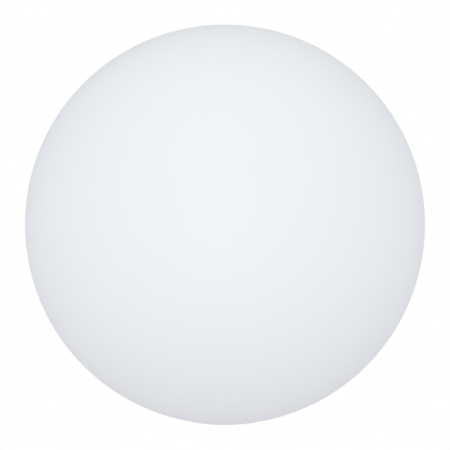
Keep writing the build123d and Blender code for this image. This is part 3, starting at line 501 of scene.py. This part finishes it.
def shape_tree(name, inputs):
    """A geometry tree that takes a mesh and named values, and ends in a finish."""
    tree = bpy.data.node_groups.new(name, "GeometryNodeTree")
    tree.interface.new_socket("Mesh", in_out="INPUT", socket_type="NodeSocketGeometry")
    for label, kind, value in inputs:
        tree.interface.new_socket(label, in_out="INPUT", socket_type=kind).default_value = value
    tree.interface.new_socket("Finish", in_out="INPUT", socket_type="NodeSocketMaterial")
    tree.interface.new_socket("Mesh", in_out="OUTPUT", socket_type="NodeSocketGeometry")
    nodes = Tree(tree)
    return nodes, nodes.add("NodeGroupInput").outputs, nodes.add("NodeGroupOutput").inputs


def shape_end(nodes, given, made, mesh):
    """Real copies in one finish."""
    real = nodes.add("GeometryNodeRealizeInstances", {0: mesh}).outputs[0]
    finished = nodes.add("GeometryNodeSetMaterial", {"Geometry": real, "Material": given["Finish"]})
    nodes.link(finished.outputs[0], made["Mesh"])


def turned_tree():
    """Turns an outline of (radius, 0, height) points round an upright axis."""
    inputs = [
        ("Steps", "NodeSocketInt", 96),
        ("Start", NUMBER, 0.0),
        ("Arc", NUMBER, 2 * math.pi),
        ("Axis", PLACE, (0, 0, 0)),
    ]
    nodes, given, made = shape_tree("turned_outline", inputs)
    outline, steps = given["Mesh"], given["Steps"]
    count = nodes.add("GeometryNodeAttributeDomainSize", {0: outline}).outputs["Point Count"]
    sizes = {"Vertices X": nodes.math("ADD", steps, 1.0), "Vertices Y": count}
    grid = nodes.add("GeometryNodeMeshGrid", sizes).outputs["Mesh"]
    index = nodes.add("GeometryNodeInputIndex").outputs[0]
    column = nodes.math("FLOOR", nodes.math("DIVIDE", nodes.math("ADD", index, 0.5), count))
    row = nodes.math("SUBTRACT", index, nodes.math("MULTIPLY", column, count))
    sample = nodes.add(
        "GeometryNodeSampleIndex",
        {"Geometry": outline, "Index": row},
        data_type="FLOAT_VECTOR",
        domain="POINT",
    )
    nodes.link(nodes.add("GeometryNodeInputPosition").outputs[0], sample.inputs["Value"])
    share = nodes.math("DIVIDE", column, steps)
    angle = nodes.math("ADD", nodes.math("MULTIPLY", share, given["Arc"]), given["Start"])
    swung = {"Vector": sample.outputs[0], "Angle": angle}
    turn = nodes.add("ShaderNodeVectorRotate", swung, rotation_type="Z_AXIS")
    places = {"Geometry": grid, "Position": turn.outputs[0], "Offset": given["Axis"]}
    moved = nodes.add("GeometryNodeSetPosition", places).outputs[0]
    whole = nodes.add("GeometryNodeMergeByDistance", {"Geometry": moved, "Distance": 1e-6}).outputs[0]
    shape_end(nodes, given, made, whole)
    return nodes.tree


def ring_tree():
    """Copies a piece round an upright axis, and keeps each point's place in the first copy."""
    inputs = [
        ("Count", "NodeSocketInt", 4),
        ("Radius", NUMBER, 0.0),
        ("Start", NUMBER, 0.0),
        ("Axis", PLACE, (0, 0, 0)),
    ]
    nodes, given, made = shape_tree("ring_of_copies", inputs)
    kept = {"Geometry": given["Mesh"], "Name": OWN_PLACE}
    own = nodes.add("GeometryNodeStoreNamedAttribute", kept, data_type="FLOAT_VECTOR")
    nodes.link(nodes.add("GeometryNodeInputPosition").outputs[0], own.inputs["Value"])
    index = nodes.add("GeometryNodeInputIndex").outputs[0]
    step = nodes.math("DIVIDE", 2 * math.pi, given["Count"])
    angle = nodes.math("ADD", nodes.math("MULTIPLY", index, step), given["Start"])
    x = nodes.math("MULTIPLY", nodes.math("COSINE", angle), given["Radius"])
    y = nodes.math("MULTIPLY", nodes.math("SINE", angle), given["Radius"])
    spot = nodes.add("ShaderNodeCombineXYZ", {0: x, 1: y}).outputs[0]
    place = nodes.vector("ADD", spot, given["Axis"])[0]
    points = nodes.add("GeometryNodePoints", {"Count": given["Count"], "Position": place}).outputs[0]
    turn = nodes.add("ShaderNodeCombineXYZ", {2: angle}).outputs[0]
    copies = {"Points": points, "Instance": own.outputs[0], "Rotation": turn}
    shape_end(nodes, given, made, nodes.add("GeometryNodeInstanceOnPoints", copies).outputs[0])
    return nodes.tree


def grown(name, mesh, tree, finish, **values):
    """A plain mesh piece that a geometry tree makes from a mesh."""
    piece = bpy.data.objects.new(name, mesh)
    bpy.context.scene.collection.objects.link(piece)
    modifier = piece.modifiers.new(tree.name, "NODES")
    modifier.node_group = tree
    values = {label.capitalize(): value for label, value in values.items()}
    values["Finish"] = finish
    for item in tree.interface.items_tree:
        if item.in_out == "INPUT" and item.name in values:
            modifier[item.identifier] = values.pop(item.name)
    if values:
        raise ValueError(f"{name}: the tree has no input named {sorted(values)}")
    bpy.context.view_layer.update()
    graph = bpy.context.evaluated_depsgraph_get()
    plain = bpy.data.meshes.new_from_object(piece.evaluated_get(graph))
    plain.materials.clear()
    plain.materials.append(finish)
    piece.modifiers.remove(modifier)
    piece.data = plain
    plain.name = name
    return piece


def tidied(piece):
    """Closes ends, turns the faces outwards, and keeps sharp edges crisp."""
    crease = math.radians(38)
    mesh = bmesh.new()
    mesh.from_mesh(piece.data)
    bmesh.ops.delete(mesh, geom=[edge for edge in mesh.edges if edge.is_wire], context="EDGES")
    bmesh.ops.holes_fill(mesh, edges=[edge for edge in mesh.edges if edge.is_boundary], sides=0)
    bmesh.ops.recalc_face_normals(mesh, faces=mesh.faces)
    for face in mesh.faces:
        face.smooth = True
        face.material_index = 0
    for edge in mesh.edges:
        edge.smooth = edge.calc_face_angle(0.0) < crease
    mesh.to_mesh(piece.data)
    mesh.free()
    return piece


def turned(name, points, finish, steps=96, start=0.0, arc=360.0, axis=(0, 0)):
    """A piece turned from an outline of (radius, height) points, in millimetres and degrees."""
    outline = bpy.data.meshes.new("outline")
    edges = [(i, i + 1) for i in range(len(points) - 1)]
    outline.from_pydata([(radius * MM, 0, height * MM) for radius, height in points], edges, [])
    values = {"steps": steps, "start": math.radians(start), "arc": math.radians(arc)}
    place = (axis[0] * MM, axis[1] * MM, 0)
    return tidied(grown(name, outline, SHARED["turned_tree"], finish, axis=place, **values))


def ring_of(name, mesh, finish, count, radius, start, height, axis=(0, 0)):
    """Copies of a piece in a ring, in millimetres and degrees."""
    values = {"count": count, "radius": radius * MM, "start": math.radians(start)}
    place = (axis[0] * MM, axis[1] * MM, height * MM)
    return tidied(grown(name, mesh, SHARED["ring_tree"], finish, axis=place, **values))


def corner(x, y, radius, start, end, steps=5):
    """Points of an arc round a centre, between two angles in degrees."""
    angles = [math.radians(start + (end - start) * i / steps) for i in range(steps + 1)]
    return [(x + radius * math.cos(angle), y + radius * math.sin(angle)) for angle in angles]


def rounded(inner, outer, bottom, top, radius, steps=5):
    """The closed outline of a bar with rounded corners."""
    left, right, low, high = inner + radius, outer - radius, bottom + radius, top - radius
    points = []
    for x, y, start in ((right, low, -90), (right, high, 0), (left, high, 90), (left, low, 180)):
        points += corner(x, y, radius, start, start + 90, steps)
    return points + points[:1]


def bowl(radius, edge, depth, steps=8):
    """Points of a shallow bowl, from the axis to its edge. A negative depth makes a dome."""
    shares = [i / steps for i in range(steps + 1)]
    return [(radius * share, edge + depth * (1 - share**2)) for share in shares]


def circle_reach(angle, radius):
    return radius


def hexagon_reach(angle, flats):
    """Distance to a hexagon's side, by its width across flats."""
    side = math.pi / 3
    return flats / 2 / math.cos((angle + side / 2) % side - side / 2)


def cross_reach(angle, length):
    """Distance to the edge of a cross, by the length of its arms."""
    c, s = abs(math.cos(angle)) + 1e-9, abs(math.sin(angle)) + 1e-9
    width = 0.3 * length
    return max(min(length / c, width / s), min(width / c, length / s))


def lofted(rings, steps=48, flip=False):
    """A closed mesh through rings of (height, reach function, size), in millimetres, head up."""
    mesh = bmesh.new()
    side = -1 if flip else 1
    loops = []
    for height, reach, size in rings:
        loop = []
        for i in range(steps):
            angle = 2 * math.pi * i / steps
            radius = reach(angle, size) * MM
            spot = (radius * math.cos(angle), side * radius * math.sin(angle), side * height * MM)
            loop.append(mesh.verts.new(spot))
        loops.append(loop)
    for low, high in zip(loops, loops[1:]):
        for i in range(steps):
            j = (i + 1) % steps
            mesh.faces.new((low[i], low[j], high[j], high[i]))
    mesh.faces.new(loops[0])
    mesh.faces.new(loops[-1])
    plain = bpy.data.meshes.new("lofted")
    mesh.to_mesh(plain)
    mesh.free()
    return plain


def screw_mesh(size, length, shape, recess, domed=True, flip=False):
    """One screw: its head with a recess of some shape, and its thread."""
    head, top, shank = size
    width, depth = recess
    lip, chamfer, edge = 0.12, 0.25, 0.08
    dome_foot, dome_flat = 0.35, 0.62
    tip, point, root = 0.3, 0.55, 0.45 * THREAD_PITCH
    rings = [(top - depth, shape, 0.92 * width), (top - lip, shape, width), (top, shape, 1.06 * width)]
    if domed:
        for turn in (88, 66, 44, 22, 0):
            out, up = math.cos(math.radians(turn)), math.sin(math.radians(turn))
            height = top * (dome_foot + (1 - dome_foot) * up)
            rings.append((height, circle_reach, head * (dome_flat + (1 - dome_flat) * out)))
    else:
        rings += [(top, circle_reach, head - chamfer), (top - chamfer, circle_reach, head)]
    rings += [(edge, circle_reach, head), (0.0, circle_reach, head - edge), (0.0, circle_reach, shank)]
    for i in range(int((length - 1.0) / THREAD_PITCH)):
        crest = -0.4 - i * THREAD_PITCH
        rings += [(crest, circle_reach, shank), (crest - THREAD_PITCH / 2, circle_reach, shank - root)]
    rings += [(-length + tip, circle_reach, shank - 0.2), (-length, circle_reach, shank - point)]
    return lofted(rings, flip=flip)


def fit(piece, body, slot, *nodes):
    """Sets a finished piece on its body, in place of the nodes that it stands for."""
    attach(piece, body)
    if nodes:
        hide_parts(*nodes)
    return piece


Span = namedtuple("Span", "left front bottom right back top")


def span(node):
    """A node's box, in millimetres."""
    return Span(*(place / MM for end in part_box(node) for place in end))


# ---------------------------------------------------------------- operators


class LIGHT_OT_shared_effects(bpy.types.Operator):
    """Build the effects and the shape trees that several pieces share"""

    bl_idname = "globe_light.shared_effects"
    bl_label = "Shared effects"

    def execute(self, context):
        SHARED.update(grain=moulded_grain(), turned=turned_lines(), speckle=speckle())
        SHARED.update(turned_tree=turned_tree(), ring_tree=ring_tree())
        return {"FINISHED"}


class LIGHT_OT_ball(bpy.types.Operator):
    """Make the glowing ball, and finish its neck and the collar in it"""

    bl_idname = "globe_light.ball"
    bl_label = "Ball and neck"

    def execute(self, context):
        glow = context.scene.globe_glow
        finish = milky("milky_wall", glow, glow.strength, glow.inside)
        ball = turned("ball_wall", self.outline(glow.wall / MM), finish, steps=192)
        fit(ball, "globe", "milky_pe", "globe_shell")
        wear(milky("milky_neck", glow, glow.strength * 0.8), "globe_neck")
        wear(moulded("collar_plastic", COLLAR_WHITE), "neck_collar")
        return {"FINISHED"}

    def outline(self, wall):
        """From the bore, round the trimmed foot, over the outside and back down the inside."""
        radius, centre = BALL_RADIUS / MM, BALL_CENTRE / MM
        low, inside, trim = span("globe_shell").bottom, radius - wall, 0.7
        foot = math.degrees(math.asin((low + trim - centre) / radius))
        out = radius * math.cos(math.radians(foot))
        rim = ((1.6, 0.0), (0.7, 0.12), (0.15, 0.5))
        points = [(WELD_RADIUS, low)] + [(out - back * trim, low + up * trim) for back, up in rim]
        points += corner(0, centre, radius, foot, 90, steps=110)
        points += corner(0, centre, inside, 90, -math.degrees(math.acos(WELD_RADIUS / inside)), steps=80)
        return points + points[:1]


class LIGHT_OT_unit(bpy.types.Operator):
    """Finish the light unit's base plate, housing and seals"""

    bl_idname = "globe_light.unit"
    bl_label = "Light unit"

    def execute(self, context):
        unit = context.scene.globe_unit
        wear(moulded("unit_plastic", unit.plastic), "base_plate", "unit_housing", "cover_clamp_ring")
        wear(moulded("door_plastic", DOOR_WHITE, gloss=0.4), "port_door")
        rings = ("seat_gasket", "housing_gasket", "seal_ring_lower", "seal_ring_upper", "cover_gasket")
        seals = ("switch_seal", "jack_seal", "port_door_seal")
        wear(rubber("grey_silicone", unit.silicone), *rings, *seals)
        wear(turned_metal("zinc_plate", ZINC, 0.3), "board_screws", "holder_screws")
        return {"FINISHED"}


class LIGHT_OT_feet(bpy.types.Operator):
    """Make the ribbed foot pads"""

    bl_idname = "globe_light.feet"
    bl_label = "Foot pads"

    def execute(self, context):
        unit = context.scene.globe_unit
        box = span("foot_pad_1")
        width, arc = unit.pad_width / MM, math.degrees(unit.pad_arc)
        outer, inner, edge = box.right, box.right - width, 0.5
        pitch = (width - 2 * edge) / unit.pad_grooves
        points = corner(inner + edge, edge, edge, 180, 270)
        for i in range(unit.pad_grooves):
            left = inner + edge + i * pitch
            groove = ((0.3, 0.0), (0.4, 0.3), (0.6, 0.3), (0.7, 0.0))
            points += [(left + share * pitch, depth) for share, depth in groove]
        points += corner(outer - edge, edge, edge, 270, 360)
        points += [(outer, box.top), (inner, box.top)]
        finish = rubber("pad_rubber", PAD_GREY, dust=0.3)
        pad = turned("foot_pad_outline", points + points[:1], finish, 40, -arc / 2, arc)
        mesh = pad.data
        bpy.data.objects.remove(pad)
        pads = ring_of("foot_pads", mesh, finish, count=4, radius=0.0, start=0.0, height=0.0)
        fit(pads, "light_unit", "silicone", *(f"foot_pad_{i}" for i in (1, 2, 3, 4)))
        return {"FINISHED"}


class LIGHT_OT_screws(bpy.types.Operator):
    """Make the case, cover and lamp screws"""

    bl_idname = "globe_light.screws"
    bl_label = "Screws"

    def execute(self, context):
        bright = turned_metal("bright_screw", BRIGHT_STEEL, 0.14, own=True, pitch=0.12 * MM)
        zinc = turned_metal("zinc_head", ZINC, 0.3, own=True)
        box = span("case_screws")
        head, height, _ = CASE_SCREW
        length = box.top - box.bottom - height
        case = screw_mesh(CASE_SCREW, length, hexagon_reach, CASE_SOCKET, domed=False, flip=True)
        radius = (box.right - head) * math.sqrt(2)
        case = ring_of("case_hex_screws", case, bright, 4, radius, 45.0, box.bottom + height)
        fit(case, "light_unit", "stainless", "case_screws")
        head, height, _ = SMALL_SCREW
        for name, node, count, start in (
            ("cover_cross_screws", "cover_screws", 4, 45.0),
            ("lamp_cross_screws", "led_board_screws", 3, 90.0),
        ):
            box = span(node)
            seat = box.top - height
            radius = (box.back - head) / math.sin(math.radians(start))
            mesh = screw_mesh(SMALL_SCREW, seat - box.bottom, cross_reach, SMALL_CROSS)
            fit(ring_of(name, mesh, zinc, count, radius, start, seat), "light_unit", "zinc_screw", node)
        return {"FINISHED"}


class LIGHT_OT_controls(bpy.types.Operator):
    """Make the push button's cap and lit ring and the pull handle, and finish the charging port"""

    bl_idname = "globe_light.controls"
    bl_label = "Button, handle and port"

    def execute(self, context):
        unit = context.scene.globe_unit
        steel = turned_metal("turned_steel", unit.steel, 0.12, depth=0.01 * MM)
        wear(steel, "switch_barrel", "switch_nut")
        self.cap(steel)
        self.lit_ring(lit_face("button_light", unit.button_glow, 0.9))
        handle_steel = turned_metal("handle_steel", HANDLE_STEEL, 0.12, depth=0.01 * MM)
        wear(handle_steel, "port_hinge_pin", "jack_nut")
        self.handle(handle_steel)
        wear(moulded("jack_plastic", JACK_BLACK, gloss=0.38), "jack_body")
        nickel = turned_metal("nickel_contact", NICKEL_PIN, 0.25)
        wear(nickel, "jack_pin", "jack_terminals", "switch_terminals")
        return {"FINISHED"}

    def cap(self, finish):
        box = span("switch_cap")
        radius, bottom, top = box.right, box.bottom, box.top
        rim, dish, edge, step, stem = 0.8, 0.4, 0.35, 0.1, 2.0
        shoulder = bottom + 2.2
        points = bowl(radius - rim, bottom, dish) + corner(radius - edge, bottom + edge, edge, 270, 360)
        points += [(radius, shoulder - step), (radius - step, shoulder), (stem, shoulder)]
        points += [(stem, top), (0, top)]
        fit(turned("button_cap", points, finish), "power_button", "stainless", "switch_cap")

    def lit_ring(self, finish):
        box = span("switch_light_ring")
        width, proud = 1.0, 0.06
        points = rounded(box.right - width, box.right, box.bottom - proud, box.top, 0.3)
        fit(turned("button_lit_ring", points, finish), "light_unit", "clear_lens", "switch_light_ring")

    def handle(self, finish):
        box = span("pull_handle")
        outer, inner, thick = box.back, box.back - 4.2, box.top - box.bottom
        pin_radius, middle = 1.2, (box.bottom + box.top) / 2
        outline = rounded(inner, outer, box.bottom, box.top, 1.1, 6)
        bow = turned("pull_bow", outline, finish, 72, 0, 180)
        mesh = bmesh.new()
        mesh.from_mesh(bow.data)
        for start, end, radius in ((inner, outer, thick / 2), (outer, box.right, pin_radius)):
            for side in (-1, 1):
                bar = self.round_bar(start, end, radius)
                turn = Matrix.Rotation(side * math.pi / 2, 4, "Y")
                bar.transform(Matrix.Translation((0, 0, middle * MM)) @ turn)
                mesh.from_mesh(bar)
                bpy.data.meshes.remove(bar)
        mesh.to_mesh(bow.data)
        mesh.free()
        fit(tidied(bow), "pull_handle", "stainless", "pull_handle")

    def round_bar(self, start, end, radius):
        """An upright bar between two heights, with rounded ends."""
        edge = 0.2
        points = corner(radius - edge, start + edge, edge, -90, 0, 3)
        points += corner(radius - edge, end - edge, edge, 0, 90, 3)
        return lofted([(height, circle_reach, size) for size, height in points])


class LIGHT_OT_fittings(bpy.types.Operator):
    """Make the status lens and the pressure vent in the underside"""

    bl_idname = "globe_light.fittings"
    bl_label = "Lens and vent"

    def execute(self, context):
        self.lens(lit_face("green_lens", context.scene.globe_unit.status_glow, 0.35))
        self.vent(moulded("vent_plastic", VENT_BLACK, gloss=0.4))
        return {"FINISHED"}

    def middle(self, node):
        """The middle of a node from above, and its lowest and highest points."""
        box = span(node)
        return ((box.left + box.right) / 2, (box.front + box.back) / 2), box.bottom, box.top

    def lens(self, finish):
        axis, bottom, top = self.middle("status_lens")
        radius, flange, step = 2.5, 3.7, top - 1.2
        points = bowl(radius - 0.2, bottom, -0.25)
        points += [(radius - 0.05, bottom + 0.05), (radius, bottom + 0.2), (radius, step)]
        points += [(flange, step), (flange, top), (0, top)]
        fit(turned("lens_dome", points, finish, 64, axis=axis), "light_unit", "clear_lens", "status_lens")

    def vent(self, finish):
        axis, bottom, top = self.middle("vent_plug")
        hub, well, radius, flange, edge, step = 1.0, 2.7, 3.6, 5.4, 0.2, top - 1.6
        points = [(0, bottom + 0.1), (hub - edge, bottom + 0.1), (hub, bottom + 0.3), (hub, bottom + 0.8)]
        points += [(well, bottom + 0.8), (well, bottom + edge), (well + edge, bottom)]
        points += [(radius - edge, bottom), (radius, bottom + edge), (radius, step)]
        points += [(flange, step), (flange, top), (0, top)]
        fit(turned("vent_body", points, finish, 64, axis=axis), "light_unit", "black_plastic", "vent_plug")
        thick, ring, stretch = 0.34, 1.85, 3.4
        rings = ((0.15, 0.28), (0.45, thick), (0.85, thick))
        spoke = lofted([(height, circle_reach, size) for height, size in rings], 4)
        for vertex in spoke.vertices:
            vertex.co.x *= stretch
        fit(ring_of("vent_spokes", spoke, finish, 6, ring, 0.0, bottom, axis), "light_unit", "black_plastic")


class LIGHT_OT_works(bpy.types.Operator):
    """Finish the board, the battery and their leads inside the unit"""

    bl_idname = "globe_light.works"
    bl_label = "Board and battery"

    def execute(self, context):
        wear(circuit("green_mask", MASK_GREEN, TRACK_GREEN, 160.0), "control_board")
        chips = ("main_controller", "charge_controller", "power_inductor", "remote_receiver")
        wear(moulded("chip_plastic", CHIP_BLACK, gloss=0.5), *chips)
        wear(turned_metal("can_aluminium", CAN_ALUMINIUM, 0.3), "buffer_capacitors")
        wear(moulded("connector_nylon", CONNECTOR_IVORY), "wire_connectors", "lamp_connector")
        wear(ribbon_lead("flat_lead_x", LEAD_GREY, 0), "led_ribbon", "switch_ribbon")
        wear(ribbon_lead("flat_lead_y", LEAD_GREY, 1), "battery_ribbons", "jack_ribbon")
        wear(moulded("holder_plastic", VENT_BLACK, gloss=0.5), "battery_holder")
        wear(cell_wrap("shrink_wrap", CELL_BLUE), "battery_cell_1", "battery_cell_2")
        wear(turned_metal("nickel_strip", NICKEL_STRIP, 0.28), "battery_contacts", "contact_springs")
        wear(rubber("grey_foam", FOAM_GREY, dust=0.4, size=2500.0), "battery_pad")
        return {"FINISHED"}


class LIGHT_OT_lamp(bpy.types.Operator):
    """Finish the lamp's board, packages and cover"""

    bl_idname = "globe_light.lamp"
    bl_label = "Lamp"

    def execute(self, context):
        wear(turned_metal("milled_aluminium", MILLED_ALUMINIUM, 0.3), "heat_spreader")
        wear(circuit("white_mask", MASK_WHITE, TRACK_WHITE, 90.0), "led_board")
        wear(moulded("lamp_frame", LAMP_FRAME, gloss=0.3), "led_packages")
        face = lit_face("lamp_face", LAMP_GLOW, 2.0)
        top = span("led_packages").top
        rings = ((0.0, 1.95), (0.1, 1.9), (0.18, 1.5), (0.2, 0.6))
        dome = [(height, circle_reach, size) for height, size in rings]
        for number, (radius, count, start) in enumerate(LAMP_RINGS, 1):
            windows = ring_of(f"lamp_windows_{number}", lofted(dome, 32), face, count, radius, start, top)
            fit(windows, "light_unit", "lamp_package")
        wear(opal("opal_dome"), "diffuser_cover")
        return {"FINISHED"}


class LIGHT_OT_stage(bpy.types.Operator):
    """Build the floor, the lights, the surroundings and the camera"""

    bl_idname = "globe_light.stage"
    bl_label = "Stage"

    def execute(self, context):
        scene, stage = context.scene, context.scene.globe_stage
        scene.view_settings.view_transform = "Standard"
        scene.view_settings.look = "None"
        self.floor(scene)
        self.surroundings(scene, stage)
        self.lights(scene, stage)
        self.camera(scene, stage)
        return {"FINISHED"}

    def floor(self, scene):
        """An evenly white floor, which is clear from below."""
        mesh = bpy.data.meshes.new("studio_floor")
        half = 12.0
        corners = [(-half, -half, 0), (half, -half, 0), (half, half, 0), (-half, half, 0)]
        mesh.from_pydata(corners, [], [(0, 1, 2, 3)])
        floor = bpy.data.objects.new("studio_floor", mesh)
        scene.collection.objects.link(floor)
        floor.visible_diffuse = floor.visible_glossy = False
        floor.visible_shadow = floor.visible_transmission = False
        finish = bpy.data.materials.new("pale_floor")
        finish.use_nodes = True
        nodes = Tree(finish.node_tree)
        nodes.tree.nodes.remove(nodes.tree.nodes["Principled BSDF"])
        white = nodes.add("ShaderNodeEmission", {"Color": (1, 1, 1, 1), "Strength": 1.0}).outputs[0]
        clear = nodes.add("ShaderNodeBsdfTransparent").outputs[0]
        back = nodes.add("ShaderNodeNewGeometry").outputs["Backfacing"]
        shown = nodes.add("ShaderNodeMixShader", {0: back, 1: white, 2: clear}).outputs[0]
        nodes.link(shown, nodes.tree.nodes["Material Output"].inputs["Surface"])
        mesh.materials.append(finish)

    def surroundings(self, scene, stage):
        """Soft light that grows from overhead to the floor, behind a white that the camera sees."""
        world = bpy.data.worlds.new("studio")
        world.use_nodes = True
        scene.world = world
        nodes = Tree(world.node_tree)
        background = world.node_tree.nodes["Background"]
        up = nodes.axes(nodes.add("ShaderNodeTexCoord").outputs["Generated"])[2]
        level = nodes.spread(up, -0.4, 0.5, stage.sky_foot, stage.sky_top, curve="SMOOTHSTEP")
        seen = nodes.add("ShaderNodeLightPath").outputs["Is Camera Ray"]
        seen_white = 1.02
        strength = nodes.add("ShaderNodeMix", {0: seen, 2: level, 3: seen_white}, data_type="FLOAT")
        nodes.link(strength.outputs[0], background.inputs["Strength"])
        background.inputs["Color"].default_value = (1, 1, 1, 1)

    def lights(self, scene, stage):
        """Three large soft lights, each with its place and its share of the key light's power."""
        middle, size = Vector((0, 0, BALL_CENTRE)), 1.2
        rig = (
            ("key_light", (-0.12, -1.8, 0.47), 1.0),
            ("back_light", (0.3, 1.8, 0.47), 0.6),
            ("top_light", (0.0, 0.0, 2.0), 0.115),
        )
        for name, place, share in rig:
            light = bpy.data.lights.new(name, "AREA")
            light.energy, light.size = stage.key * share, size
            lamp = bpy.data.objects.new(name, light)
            scene.collection.objects.link(lamp)
            lamp.location = Vector(place)
            lamp.rotation_mode = "QUATERNION"
            lamp.rotation_quaternion = (middle - lamp.location).to_track_quat("-Z", "Y")
            lamp.visible_camera = lamp.visible_glossy = False

    def camera(self, scene, stage):
        """The photograph's view, with the ball as wide and as high in the frame."""
        data = bpy.data.cameras.new("camera")
        camera = bpy.data.objects.new("camera", data)
        scene.collection.objects.link(camera)
        middle = Vector((0, 0, BALL_CENTRE))
        back = Vector((0, -math.cos(stage.elevation), math.sin(stage.elevation)))
        camera.location = middle + back * stage.distance
        camera.rotation_mode = "QUATERNION"
        camera.rotation_quaternion = (-back).to_track_quat("-Z", "Y")
        limb = math.tan(math.asin(BALL_RADIUS / stage.distance))
        pixels_down, frame_pixels = 0.43, 450
        data.sensor_width = 36.0
        data.lens = data.sensor_width / 2 * stage.fill / limb
        data.shift_y = -pixels_down / frame_pixels
        data.clip_start, data.clip_end = 0.01, 100
        scene.camera = camera


STEPS = (
    LIGHT_OT_shared_effects,
    LIGHT_OT_ball,
    LIGHT_OT_unit,
    LIGHT_OT_feet,
    LIGHT_OT_screws,
    LIGHT_OT_controls,
    LIGHT_OT_fittings,
    LIGHT_OT_works,
    LIGHT_OT_lamp,
    LIGHT_OT_stage,
)


class LIGHT_PT_panel(bpy.types.Panel):
    """Lists the sizes, the colours and the steps of the garden globe light"""

    bl_idname = "LIGHT_PT_panel"
    bl_label = "Garden globe light"
    bl_space_type = "VIEW_3D"
    bl_region_type = "UI"
    bl_category = "Globe light"

    def draw(self, context):
        scene = context.scene
        for group in (scene.globe_glow, scene.globe_unit, scene.globe_stage):
            box = self.layout.box()
            for label in group.bl_rna.properties.keys():
                if label not in ("rna_type", "name"):
                    box.prop(group, label)
        for step in STEPS:
            self.layout.operator(step.bl_idname)


CLASSES = (GlowSettings, UnitSettings, StageSettings, *STEPS, LIGHT_PT_panel)


def register():
    for item in CLASSES:
        bpy.utils.register_class(item)
    bpy.types.Scene.globe_glow = bpy.props.PointerProperty(type=GlowSettings)
    bpy.types.Scene.globe_unit = bpy.props.PointerProperty(type=UnitSettings)
    bpy.types.Scene.globe_stage = bpy.props.PointerProperty(type=StageSettings)


def unregister():
    del bpy.types.Scene.globe_glow
    del bpy.types.Scene.globe_unit
    del bpy.types.Scene.globe_stage
    for item in reversed(CLASSES):
        bpy.utils.unregister_class(item)


def main():
    register()
    for step in STEPS:
        space, name = step.bl_idname.split(".")
        getattr(getattr(bpy.ops, space), name)()


if __name__ == "__main__":
    main()
